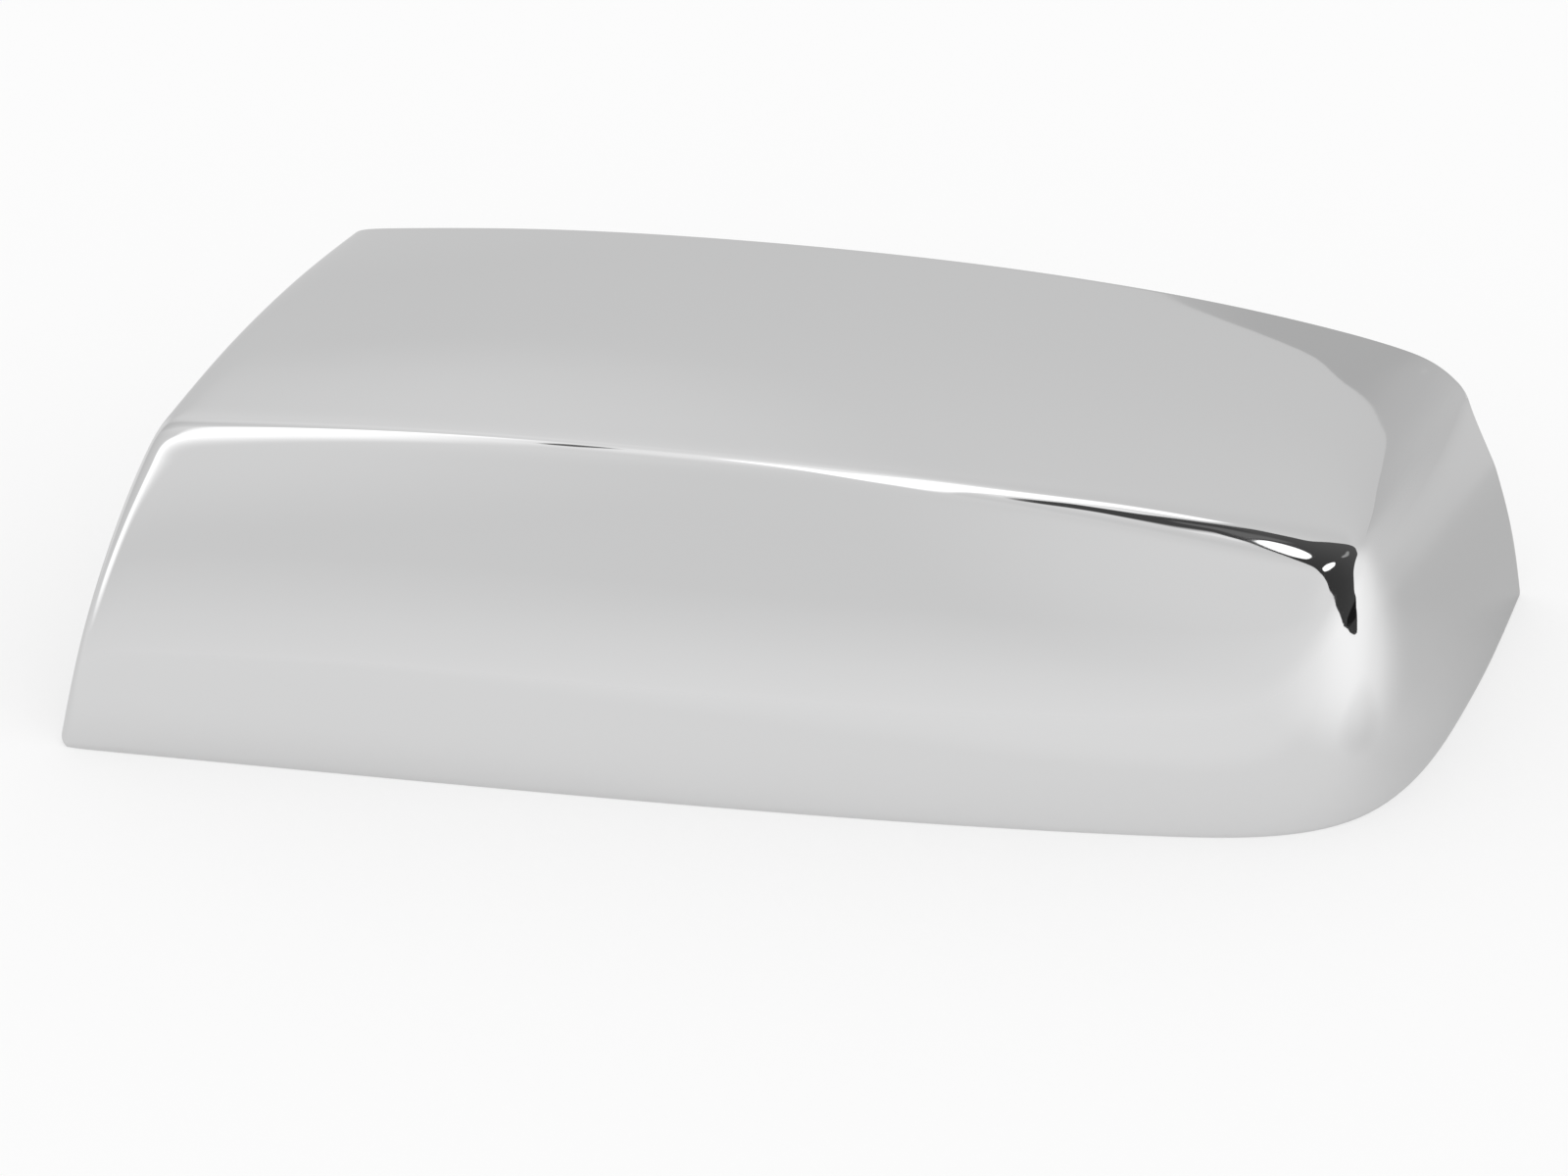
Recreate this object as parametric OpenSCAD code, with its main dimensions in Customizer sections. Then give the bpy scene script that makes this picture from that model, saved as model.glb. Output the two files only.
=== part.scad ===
// Clip-on cover for the upper half of a large door mirror housing.
// One moulded shell: a near-upright front, a flat top and an outboard end meet at
// a crisp shoulder. The inboard edge rolls over into a short return lip, and the
// bottom and rear edges are plain. Snap hooks, locating pins and webs are moulded inside.
//
// X runs from the inboard lip to the outboard end, Y from the front to the open
// rear, Z upwards. The cover rests on its bottom rim.
//
// The skin is a smooth surface over a net of guide points, 13 columns by 10 rows.
// Columns run from the return lip round the outboard bend towards the rear, and rows
// run from the bottom rim over the shoulder towards the rear. The last column and the
// last row lie behind the cover, and the skin is cut off square in the rear rim's plane.

/* [Overall] */
// Length from the inboard lip to the outboard rear corner
cover_length = 278; // [260:1:290]
// Depth from the front edge to the rear rim
cover_depth = 109; // [100:1:118]
// Wall thickness
wall = 2.5; // [2:0.1:2.8]

/* [Bottom rim] */
// Distance from the inboard end to the outboard front corner, before rounding
corner_x = 255.5; // [246:0.5:262]
// Sweep back of that corner behind the front edge
corner_y = 10.5; // [6:0.5:16]
// Reach of the corner's rounding along the front
corner_reach_front = 43.5; // [30:0.5:55]
// Reach of the corner's rounding along the outboard side
corner_reach_side = 55; // [35:1:60]
// Outward bow of the outboard side
side_bow = 1.9; // [0:0.1:4]
// Radius of the inboard bottom corner
corner_round = 2.5; // [1.5:0.1:3.5]

/* [Shoulder] */
// Inboard end of the shoulder, along the length
shoulder_in_x = 17.5; // [14:0.5:22]
// Inboard end of the shoulder, behind the front edge
shoulder_in_y = 22; // [18:0.5:26]
// Inboard end of the shoulder, above the rim
shoulder_in_z = 60.8; // [58:0.1:62]
// Where the shoulder is highest, along the length
shoulder_peak_x = 75; // [60:1:100]
// Greatest height of the shoulder
shoulder_peak_z = 64; // [62:0.1:66]
// Outboard end of the shoulder, along the length
shoulder_out_x = 247.5; // [242:0.5:252]
// Outboard end of the shoulder, behind the front edge
shoulder_out_y = 25; // [20:0.5:30]
// Outboard end of the shoulder, above the rim
shoulder_out_z = 52.5; // [50:0.1:55]
// Reach of the rounding across the shoulder at its inboard end
shoulder_soft_in = 6; // [4:0.1:8]
// Reach of the rounding where the shoulder is sharpest
shoulder_soft_mid = 2.8; // [2.4:0.1:4]
// Reach of the rounding across the shoulder at its outboard end
shoulder_soft_out = 11; // [8:0.5:13]
// Reach of the outboard bend's rounding at shoulder height
knuckle_reach = 10; // [7:0.5:13]

/* [Rear rim] */
// Inboard end of the rear rim, along the length
rear_in_x = 33; // [28:0.5:38]
// Inboard end of the rear rim, above the bottom rim
rear_in_z = 62.5; // [60:0.1:64]
// Where the rear rim is highest, along the length
rear_peak_x = 102; // [90:1:130]
// Greatest height of the rear rim
rear_peak_z = 67; // [65:0.1:69]
// Outboard corner of the rear rim, along the length
rear_corner_x = 254.5; // [250:0.5:257]
// Outboard corner of the rear rim, above the bottom rim
rear_corner_z = 53; // [51:0.5:55]
// Where the top starts to turn towards the rear corner, along the length
rear_turn_x = 222; // [212:0.5:230]
// Reach of that turn's rounding
rear_turn_reach = 20; // [14:1:26]
// Where the shoulder's line runs out on the outboard rear edge, along the length
side_end_x = 265.5; // [262:0.5:268]
// Where the shoulder's line runs out on the outboard rear edge, above the rim
side_end_z = 40; // [36:0.5:43]

/* [Surface fullness] */
// Bulge of the front between the bottom rim and the shoulder
front_bulge = 3; // [1:0.1:5]
// Crown of the top between the shoulder and the rear rim
top_crown = 2.5; // [0.5:0.1:4]
// Bulge of the soft ridge between the outboard end and the rear corner
corner_bulge = 2.5; // [1:0.1:4]
// Rise of the shoulder's line over the outboard end
end_rise = 1.5; // [0:0.1:3]
// Outward bow of the inboard edge over the front
lip_bow_front = 2.4; // [0:0.1:4]
// Outward bow of the inboard edge over the top
lip_bow_top = 1; // [0:0.1:3]

/* [Inboard lip] */
// Reach of the lip's rounding along the skin
lip_reach = 7; // [6:0.5:9]
// Depth of the return lip
lip_depth = 6; // [5.5:0.1:8]

/* [Snap hooks, pins and webs] */
// Radius of the locating pins
pin_r = 3; // [2:0.1:4]
// Length of the locating pins beyond their bosses
pin_len = 12; // [8:0.5:16]
// Depth of the pins' bosses behind the inside of the wall
pin_boss = 7; // [5:0.5:9]
// Rim of a boss around its pin
pin_rim = 4.5; // [3:0.1:6]
// Width of the snap hooks
hook_w = 10; // [6:0.5:14]
// Thickness of the snap hooks
hook_t = 2; // [1.6:0.1:2.6]
// Length of the snap hooks
hook_len = 14; // [10:0.5:18]
// Depth of the front hooks' bosses behind the inside of the wall
hook_boss = 5; // [3:0.5:7]
// Depth of the hanging hooks' bosses below the inside of the wall
hanger_boss = 3; // [2:0.5:5]
// Rim of a boss around its hook
hook_rim = 2.2; // [1.5:0.1:3]
// Height of the hooks' barbs
barb = 1.8; // [1:0.1:2.5]
// Length of the ramp on a barb
barb_ramp = 4; // [3:0.5:6]
// Thickness of the webs inside the shoulder
web_t = 1.5; // [1:0.1:2]

/* [Hidden] */
lip_in = 1;       // how far the return lip leans outboard
behind = 12;      // how far the last row and column lie behind the rear rim
corner_tuck = 4;  // how far the guide points behind the rear corner step along its rims
sunk = 1;         // how far pins and hooks start inside their bosses
pin_tip = 1.2;    // length of a pin's tapered tip
pin_taper = 0.8;  // how much the tip narrows on its radius
nose = 0.6;       // blunt step at the end of a hook and on top of its barb
cols = 13;
rows = 10;
// Facets drawn in each span between guide columns and between guide rows
col_facets = [4, 4, 3, 3, 3, 3, 4, 5, 5, 4, 4, 3];
row_facets = [4, 3, 4, 5, 5, 4, 4, 4, 2];
// Columns and rows of the skin at which the inner features stand
pin_cols = [2.9, 6.2];
pin_row = 2.0;
hook_cols = [2.2, 4.5, 6.9];
hook_row = 1.25;
hanger_cols = [3.3, 6.3];
hanger_row = 7.4;
web_cols = [2.5, 3.9, 5.2, 6.5, 7.4];

// Small vector helpers
function unit(v) = v/norm(v);
function mix(a, b, t) = a + (b - a)*t;
function hump(t) = 4*t*(1 - t);
function smooth(t) = let(s = max(0, min(1, t))) s*s*(3 - 2*s);
function total(list, i = 0) = i == len(list) - 1 ? list[i] : list[i] + total(list, i + 1);

// Height along a line that rises from (x0, z0) to (xp, zp) and falls to (x1, z1)
function arch(x, x0, z0, xp, zp, x1, z1, k) =
    x < xp ? zp - (zp - z0)*pow((xp - x)/(xp - x0), 2)
           : zp - (zp - z1)*pow((x - xp)/(x1 - xp), k);

// Places of the eight columns before the outboard bend, as fractions of a side
function steps(lead, reach) =
    [0, lead, each [for (i = [1:4]) mix(lead, 1 - reach, i/5)], 1 - reach, 1];

// Places of the three columns after the bend
function steps_after(reach) = [reach, mix(reach, 1, 0.5), 1];

// The three long guide lines, each of eleven points

bottom_line = let(
    front = norm([corner_x, corner_y]),
    side = norm([cover_length - corner_x, cover_depth - corner_y]))
    [each [for (t = steps(lip_reach/front, corner_reach_front/front))
        [corner_x*t, corner_y*pow(t, 4), 0]],
     each [for (t = steps_after(corner_reach_side/side))
        [mix(corner_x, cover_length, t) + side_bow*hump(t), mix(corner_y, cover_depth, t), 0]]];

shoulder_line = let(
    inner = [shoulder_in_x, shoulder_in_y, shoulder_in_z],
    outer = [shoulder_out_x, shoulder_out_y, shoulder_out_z],
    rear = [side_end_x, cover_depth, side_end_z],
    len = norm(outer - inner))
    [each [for (t = steps(lip_reach/len, knuckle_reach/len))
        let(x = mix(inner.x, outer.x, t))
        [x, mix(inner.y, outer.y, t*t),
         arch(x, inner.x, inner.z, shoulder_peak_x, shoulder_peak_z, outer.x, outer.z, 2.9)]],
     each [for (t = steps_after(knuckle_reach/norm(rear - outer)))
        mix(outer, rear, t) + [0, 0, end_rise*hump(t)]]];

rear_line = let(len = rear_turn_x - rear_in_x)
    [for (x = [each [for (t = steps(lip_reach/len, rear_turn_reach/len)) mix(rear_in_x, rear_turn_x, t)],
               each [for (t = [0.44, 0.72, 1]) mix(rear_turn_x, rear_corner_x, t)]])
        [x, cover_depth, arch(x, rear_in_x, rear_in_z, rear_peak_x, rear_peak_z,
                              rear_corner_x, rear_corner_z, 2.75)]];

// Reach of the rounding across the shoulder, column by column
function softness(i) = i < 3
    ? mix(shoulder_soft_in, shoulder_soft_mid, smooth(i/3))
    : mix(shoulder_soft_mid, shoulder_soft_out, smooth((i - 3)/5));

// One column of guide points from the bottom rim to the rear rim
function column(i) = let(
    b = bottom_line[i], c = shoulder_line[i], r = rear_line[i],
    turn = max(0, min(1, (i - 6)/3)),       // 0 on the front, 1 on the outboard end
    past = max(0, (i - 7)/3),               // 0 up to the knuckle, 1 at the rear edge
    out = unit([sin(90*turn), -cos(90*turn), 0.15]),
    up = unit([0.9*past, 0, 1]),
    bulge = front_bulge*(1 - 0.3*turn),
    crown = mix(top_crown, corner_bulge, past),
    low = [for (t = [0.36, 0.72]) mix(b, c, t) + out*bulge*hump(t)],
    high = [for (t = [0.36, 0.72]) mix(c, r, t) + up*crown*hump(t)],
    soft = softness(i),
    above = min(soft, norm(high[0] - c)*0.5))
    [b, each low, c + unit(low[1] - c)*soft, c, c + unit(high[0] - c)*above, each high, r];

// The inboard edge bows outwards, and the columns near it follow
function bowed(p, c, i) = let(
    over_top = p.y > c.y,
    t = over_top ? (p.y - c.y)/(cover_depth - c.y) : p.z/c.z)
    p - [pow(1 - i/6, 2)*hump(t)*(over_top ? lip_bow_top : lip_bow_front), 0, 0];

skin = [for (i = [0:10]) let(col = column(i))
    [for (p = col) i < 6 ? bowed(p, shoulder_line[i], i) : p]];

// The return lip turns inwards from the first column
return_lip = [for (j = [0:8]) let(
    along = unit(skin[0][min(j + 1, 8)] - skin[0][max(j - 1, 0)]),
    across = unit(skin[1][j] - skin[0][j]),
    p = skin[0][j] - unit(cross(across, along))*lip_depth + across*lip_in)
    [p.x, p.y, j == 0 ? 0 : p.z]];

// The skin carried on behind the rear rim
function carry(a, b) = b + (b - a)*behind/(b.y - a.y);
covered = [return_lip, each skin];
top_behind = [for (i = [0:10]) carry(covered[i][7], covered[i][8])];
side_behind = [for (j = [0:6]) carry(covered[10][j], covered[11][j])];
rim_corner = covered[11][8];
corner_behind = let(
    slope = (top_behind[10] - covered[10][8] + side_behind[6] - covered[11][6])/2,
    to_top = unit(covered[10][8] - rim_corner)*corner_tuck,
    to_side = unit(covered[11][7] - rim_corner)*corner_tuck)
    [rim_corner + slope + to_top, rim_corner + slope, rim_corner + slope + to_side];
last_column = [each side_behind, mix(side_behind[6], corner_behind[2], 0.5),
               corner_behind[2], corner_behind[1]];
outer_net = [
    for (i = [0:10]) [each covered[i], top_behind[i]],
    [each covered[11], corner_behind[0]],
    last_column];

// Inner net: each guide point moves in by the wall, square to the facets around it.
// Points on the bottom rim stay level.
function facet(net, i, j) = unit(cross(net[i + 1][j + 1] - net[i][j], net[i][j + 1] - net[i + 1][j]));
function lean(net, i, j) = let(list = [
    for (a = [max(i - 1, 0):min(i, cols - 2)], b = [max(j - 1, 0):min(j, rows - 2)]) facet(net, a, b)])
    total(list)/len(list);
function inset(net, i, j) = let(
    m = lean(net, i, j),
    d = [m.x, m.y, j == 0 ? 0 : m.z])
    net[i][j] - wall*d/(d*d);
inner_net = [for (i = [0:cols - 1]) [for (j = [0:rows - 1]) inset(outer_net, i, j)]];

// Smooth surface over a net, with the net carried on straight past its edges
function carried(r) = [2*r[0] - r[1], each r, 2*r[len(r) - 1] - r[len(r) - 2]];
function padded(net) = let(n = [for (c = net) carried(c)], k = len(n))
    [2*n[0] - n[1], each n, 2*n[k - 1] - n[k - 2]];
function weights(t) = [pow(1 - t, 3), 3*t*t*t - 6*t*t + 4, -3*t*t*t + 3*t*t + 3*t + 1, t*t*t]/6;
function at_net(n, u, v) = let(
    i = min(floor(u), cols - 2), j = min(floor(v), rows - 2),
    a = weights(u - i), b = weights(v - j))
    a*[for (k = [0:3]) b*[for (m = [0:3]) n[i + k][j + m]]];

outer_pad = padded(outer_net);
inner_pad = padded(inner_net);

// A point of the wall: depth 0 is the show side and 1 is the inside
function in_wall(u, v, depth) = mix(at_net(outer_pad, u, v), at_net(inner_pad, u, v), depth);

function stations(facets) = [each [for (s = [0:len(facets) - 1]) each [for (k = [0:facets[s] - 1])
    s + k/facets[s]]], len(facets)];
us = stations(col_facets);
vs = stations(row_facets);
nu = len(us);
nv = len(vs);

// The inboard bottom corner: its foot, the lean of the edge above it and its round's reach
skin_grid = [for (u = us) each [for (v = vs) let(p = at_net(outer_pad, u, v)) if (p.y <= cover_depth) p]];
corner_foot = [min([for (p = skin_grid) p.x]), 0];
corner_edge = unit([skin[0][1].x - skin[0][0].x, skin[0][1].z]);
corner_reach = corner_round/tan(atan2(corner_edge.y, corner_edge.x)/2);

// The box of the whole cover, which centres it on the origin
low_x = corner_foot.x + corner_reach - corner_round;
high_x = max(cover_length, max([for (p = skin_grid) p.x]));
low_y = min([for (p = skin_grid) p.y]);
centre = [(low_x + high_x)/2, (low_y + cover_depth)/2, 0];

// Solid between two grids of the same size, front towards the first
module between(front, back, a, b) {
    function id(i, j) = i*b + j;
    k = a*b;
    polyhedron(points = [each front, each back], faces = [
        for (i = [0:a - 2], j = [0:b - 2]) each [
            [id(i, j), id(i, j + 1), id(i + 1, j + 1)],
            [id(i, j), id(i + 1, j + 1), id(i + 1, j)],
            [k + id(i, j), k + id(i + 1, j + 1), k + id(i, j + 1)],
            [k + id(i, j), k + id(i + 1, j), k + id(i + 1, j + 1)]],
        for (i = [0:a - 2]) each [
            [id(i, 0), id(i + 1, 0), k + id(i + 1, 0)], [id(i, 0), k + id(i + 1, 0), k + id(i, 0)],
            [id(i, b - 1), k + id(i + 1, b - 1), id(i + 1, b - 1)],
            [id(i, b - 1), k + id(i, b - 1), k + id(i + 1, b - 1)]],
        for (j = [0:b - 2]) each [
            [id(0, j), k + id(0, j + 1), id(0, j + 1)], [id(0, j), k + id(0, j), k + id(0, j + 1)],
            [id(a - 1, j), id(a - 1, j + 1), k + id(a - 1, j + 1)],
            [id(a - 1, j), k + id(a - 1, j + 1), k + id(a - 1, j)]]]);
}

// What the round of the inboard bottom corner takes away, from the front to behind the lip
module corner_waste() {
    along_rim = [corner_reach, 0];
    up_edge = corner_edge*corner_reach;
    translate([0, 3*lip_depth, 0]) rotate([90, 0, 0]) linear_extrude(4*lip_depth) difference() {
        translate(corner_foot)
            polygon([[-corner_reach, -corner_reach], [corner_reach, -corner_reach],
                     along_rim, up_edge, up_edge - along_rim]);
        translate(corner_foot + [corner_reach, corner_round]) circle(r = corner_round, $fn = 48);
    }
}

// The moulded skin with its return lip, cut off square at the rear rim
module shell() {
    difference() {
        between(
            [for (u = us) each [for (v = vs) at_net(outer_pad, u, v)]],
            [for (u = us) each [for (v = vs) at_net(inner_pad, u, v)]], nu, nv);
        translate([-cover_length/4, cover_depth, -cover_length/4])
            cube([1.5*cover_length, cover_depth, cover_length]);
        corner_waste();
    }
}

// Nine points of the middle of the wall, w along the columns and h along the rows
function patch(u, v, w, h) = let(
    du = w/2*0.2/norm(in_wall(u + 0.1, v, 0.5) - in_wall(u - 0.1, v, 0.5)),
    dv = h/2*0.2/norm(in_wall(u, v + 0.1, 0.5) - in_wall(u, v - 0.1, 0.5)))
    [for (a = [-1:1]) each [for (b = [-1:1]) in_wall(u + a*du, v + b*dv, 0.5)]];

// Middle of the inside of the wall
function seat(u, v) = in_wall(u, v, 1);

// Boss from the wall of the front back to a flat face square to Y
module boss(u, v, w, h, depth) {
    base = patch(u, v, w, h);
    end = seat(u, v).y + depth;
    between(base, [for (p = base) [p.x, end, p.z]], 3, 3);
}

// Round locating pin on a boss
module locating_pin(u, v) {
    s = seat(u, v);
    boss(u, v, 2*(pin_r + pin_rim), 2*(pin_r + pin_rim), pin_boss);
    translate([s.x, s.y + pin_boss - sunk, s.z]) rotate([-90, 0, 0]) {
        cylinder(r = pin_r, h = pin_len + sunk, $fn = 48);
        translate([0, 0, pin_len + sunk]) cylinder(r1 = pin_r, r2 = pin_r - pin_taper, h = pin_tip, $fn = 48);
    }
}

// Profile of a snap hook: a springy tab that ends in a barb
module hook_profile() {
    half = hook_t/2;
    ramp = hook_len - barb_ramp;
    polygon([[0, -half], [hook_len - nose, -half], [hook_len, nose - half], [hook_len, half],
             [ramp, half + barb], [ramp - nose, half + barb], [ramp - nose, half], [0, half]]);
}

// Snap hook that points back from the front
module front_hook(u, v) {
    s = seat(u, v);
    boss(u, v, hook_w + 2*hook_rim, hook_t + 2*hook_rim, hook_boss);
    translate([s.x - hook_w/2, s.y + hook_boss - sunk, s.z]) rotate([90, 0, 90])
        linear_extrude(hook_w) hook_profile();
}

// Snap hook that hangs from the top, with its barb towards the rear
module hanging_hook(u, v) {
    s = seat(u, v);
    base = patch(u, v, hook_w + 2*hook_rim, hook_t + 2*hook_rim);
    between(base, [for (p = base) [p.x, p.y, s.z - hanger_boss]], 3, 3);
    translate([s.x - hook_w/2, s.y, s.z - hanger_boss + sunk]) rotate([0, 90, 0])
        linear_extrude(hook_w) hook_profile();
}

// Column at which row v crosses a given distance along the length, found by steps from u
function column_at(x, v, u, tries = 5) = tries == 0 ? u : let(
    here = in_wall(u, v, 0.5).x,
    slope = (in_wall(u + 0.1, v, 0.5).x - here)/0.1)
    column_at(x, v, u + (x - here)/slope, tries - 1);

// Thin flat web across the inside of the shoulder
module web(u) {
    x = in_wall(u, 4, 0.5).x;
    arc = [for (v = [2.5:0.25:6.25]) in_wall(column_at(x, v, u), v, 0.5)];
    translate([x - web_t/2, 0, 0]) rotate([90, 0, 90]) linear_extrude(web_t)
        polygon([for (p = arc) [p.y, p.z]]);
}

module mirror_cover() {
    color([0.8, 0.81, 0.82]) translate(-centre) union() {
        shell();
        for (u = pin_cols) locating_pin(u, pin_row);
        for (u = hook_cols) front_hook(u, hook_row);
        for (u = hanger_cols) hanging_hook(u, hanger_row);
        for (u = web_cols) web(u);
    }
}

mirror_cover();
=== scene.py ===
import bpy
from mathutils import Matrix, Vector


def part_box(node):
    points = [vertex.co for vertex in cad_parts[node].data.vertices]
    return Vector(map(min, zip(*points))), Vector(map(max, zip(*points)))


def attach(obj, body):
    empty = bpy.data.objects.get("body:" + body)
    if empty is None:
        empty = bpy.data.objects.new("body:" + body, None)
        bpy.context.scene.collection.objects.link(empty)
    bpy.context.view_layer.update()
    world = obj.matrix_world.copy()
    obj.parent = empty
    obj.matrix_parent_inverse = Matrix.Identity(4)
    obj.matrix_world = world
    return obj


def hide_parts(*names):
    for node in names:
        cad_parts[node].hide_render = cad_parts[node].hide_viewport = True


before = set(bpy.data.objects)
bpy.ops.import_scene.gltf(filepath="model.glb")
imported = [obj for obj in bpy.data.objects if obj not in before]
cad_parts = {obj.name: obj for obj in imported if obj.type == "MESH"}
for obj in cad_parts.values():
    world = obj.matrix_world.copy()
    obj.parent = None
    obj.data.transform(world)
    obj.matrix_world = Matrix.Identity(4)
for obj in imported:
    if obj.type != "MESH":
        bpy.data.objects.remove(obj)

"""Chrome-plated cover of a door mirror, on a pale floor in a soft light tent.

The cover is one moulding. Its skin is a smooth sheet over a net of guide points, given
its wall by extrusion and cut off square at the rear and bottom rims. The hooks, pins and
webs inside are modelled as solids of their own and joined to the wall.

Sizes are millimetres until a mesh is made, and metres from there on. X runs from the
inboard lip to the outboard end, Y from the front to the open rear, and Z upwards.
"""

import logging
import math
from dataclasses import dataclass, field
from enum import Enum
from typing import Callable

import bmesh
import bpy
from mathutils import Vector

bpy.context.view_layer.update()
NODE = "mirror_cover"
BODY = "root"
MM = 0.001

log = logging.getLogger("mirror_cover")


def mix(a: float | Vector, b: float | Vector, t: float) -> float | Vector:
    """Blends two numbers or points: t of 0 gives a, and 1 gives b."""
    return a + (b - a) * t


def hump(t: float) -> float:
    """Parabola that is 0 at both ends of the unit range and 1 at its middle."""
    return 4.0 * t * (1.0 - t)


def clamped(t: float) -> float:
    """Limits a number to the unit range."""
    return max(0.0, min(1.0, t))


def smooth(t: float) -> float:
    """S-shaped ramp over the unit range."""
    s = clamped(t)
    return s * s * (3.0 - 2.0 * s)


def deselect_all() -> None:
    """Leaves nothing selected and no object in edit mode."""
    if bpy.context.mode != "OBJECT":
        bpy.ops.object.mode_set(mode="OBJECT")
    bpy.ops.object.select_all(action="DESELECT")


def activate(piece: bpy.types.Object) -> None:
    """Makes a piece the only selected object and the active one."""
    deselect_all()
    piece.select_set(True)
    bpy.context.view_layer.objects.active = piece


def new_piece(name: str) -> bpy.types.Object:
    """Names the primitive that was just added, and its mesh.

    Args:
        name: Name of the piece.

    Returns:
        The piece.
    """
    piece = bpy.context.active_object
    piece.name = name
    piece.data.name = name
    return piece


def apply_modifier(piece: bpy.types.Object, name: str, kind: str, **settings: object) -> None:
    """Adds a modifier, sets it up and applies it.

    Args:
        piece: Piece to work on.
        name: Name of the modifier.
        kind: Blender's name for its type.
        settings: Values for the modifier's own settings.
    """
    modifier = piece.modifiers.new(name, kind)
    for key, value in settings.items():
        setattr(modifier, key, value)
    activate(piece)
    bpy.ops.object.modifier_apply(modifier=name)


def select_faces(piece: bpy.types.Object, wanted: Callable[[bmesh.types.BMFace], bool]) -> int:
    """Selects faces in edit mode by a test, and nothing else.

    Args:
        piece: Piece in edit mode.
        wanted: Test that a face has to pass.

    Returns:
        How many faces are selected.
    """
    bpy.ops.mesh.select_mode(type="FACE")
    bpy.ops.mesh.select_all(action="DESELECT")
    mesh = bmesh.from_edit_mesh(piece.data)
    chosen = [face for face in mesh.faces if wanted(face)]
    for face in chosen:
        face.select_set(True)
    bmesh.update_edit_mesh(piece.data)
    return len(chosen)


def select_edges(piece: bpy.types.Object, wanted: Callable[[bmesh.types.BMEdge], bool]) -> int:
    """Selects edges in edit mode by a test, and nothing else.

    Args:
        piece: Piece in edit mode.
        wanted: Test that an edge has to pass.

    Returns:
        How many edges are selected.
    """
    bpy.ops.mesh.select_mode(type="EDGE")
    bpy.ops.mesh.select_all(action="DESELECT")
    mesh = bmesh.from_edit_mesh(piece.data)
    chosen = [edge for edge in mesh.edges if wanted(edge)]
    for edge in chosen:
        edge.select_set(True)
    bmesh.update_edit_mesh(piece.data)
    return len(chosen)


def place_vertices(piece: bpy.types.Object, places: dict[int, Vector]) -> None:
    """Moves vertices one by one to their places, in edit mode.

    Args:
        piece: Piece in edit mode.
        places: New place of each vertex, in metres, by its index.
    """
    bpy.ops.mesh.select_mode(type="VERT")
    bpy.ops.mesh.select_all(action="DESELECT")
    for index, place in places.items():
        mesh = bmesh.from_edit_mesh(piece.data)
        mesh.verts.ensure_lookup_table()
        vertex = mesh.verts[index]
        vertex.select_set(True)
        bmesh.update_edit_mesh(piece.data)
        bpy.ops.transform.translate(value=place - vertex.co)
        mesh = bmesh.from_edit_mesh(piece.data)
        mesh.verts.ensure_lookup_table()
        mesh.verts[index].select_set(False)


def sort_elements() -> None:
    """Sorts what is selected in edit mode by place, so that its order is the same in each run."""
    bpy.ops.mesh.sort_elements(type="CURSOR_DISTANCE", elements={"VERT", "EDGE", "FACE"})


def outline_plate(name: str, outline: list[Vector], push: Vector) -> bpy.types.Object:
    """Makes a plate from a flat outline.

    Args:
        name: Name of the plate.
        outline: Corners of the outline in order, in metres.
        push: How far the outline is extruded, in metres.

    Returns:
        The plate.
    """
    deselect_all()
    bpy.ops.mesh.primitive_circle_add(vertices=len(outline), radius=MM, fill_type="NGON")
    plate = new_piece(name)
    bpy.ops.object.mode_set(mode="EDIT")
    place_vertices(plate, dict(enumerate(outline)))
    bpy.ops.mesh.select_all(action="SELECT")
    bpy.ops.mesh.extrude_region_move(TRANSFORM_OT_translate={"value": push})
    bpy.ops.mesh.select_all(action="SELECT")
    bpy.ops.mesh.normals_make_consistent(inside=False)
    bpy.ops.object.mode_set(mode="OBJECT")
    return plate


class Rim(Enum):
    """Edges of the skin that are cut off square and then rounded over."""

    REAR = "rear"
    BOTTOM = "bottom"


@dataclass(frozen=True)
class CoverSizes:
    """Driving sizes of the cover, in millimetres, measured from the corner of its bare outline."""

    length: float = 278.0
    depth: float = 109.0
    wall: float = 2.5
    corner_x: float = 255.5
    corner_y: float = 10.5
    corner_reach_front: float = 43.5
    corner_reach_side: float = 55.0
    side_bow: float = 1.9
    corner_round: float = 2.5
    shoulder_in: tuple[float, float, float] = (17.5, 22.0, 60.8)
    shoulder_peak_x: float = 75.0
    shoulder_peak_z: float = 64.0
    shoulder_out: tuple[float, float, float] = (247.5, 25.0, 52.5)
    shoulder_soft_in: float = 6.0
    shoulder_soft_mid: float = 2.8
    shoulder_soft_out: float = 11.0
    knuckle_reach: float = 10.0
    rear_in_x: float = 33.0
    rear_in_z: float = 62.5
    rear_peak_x: float = 102.0
    rear_peak_z: float = 67.0
    rear_corner_x: float = 254.5
    rear_corner_z: float = 53.0
    rear_turn_x: float = 222.0
    rear_turn_reach: float = 20.0
    side_end_x: float = 265.5
    side_end_z: float = 40.0
    front_bulge: float = 3.0
    top_crown: float = 2.5
    corner_bulge: float = 2.5
    end_rise: float = 1.5
    lip_bow_front: float = 2.4
    lip_bow_top: float = 1.0
    lip_reach: float = 7.0
    lip_depth: float = 6.0
    lip_in: float = 1.0
    behind: float = 12.0
    corner_tuck: float = 4.0


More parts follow.
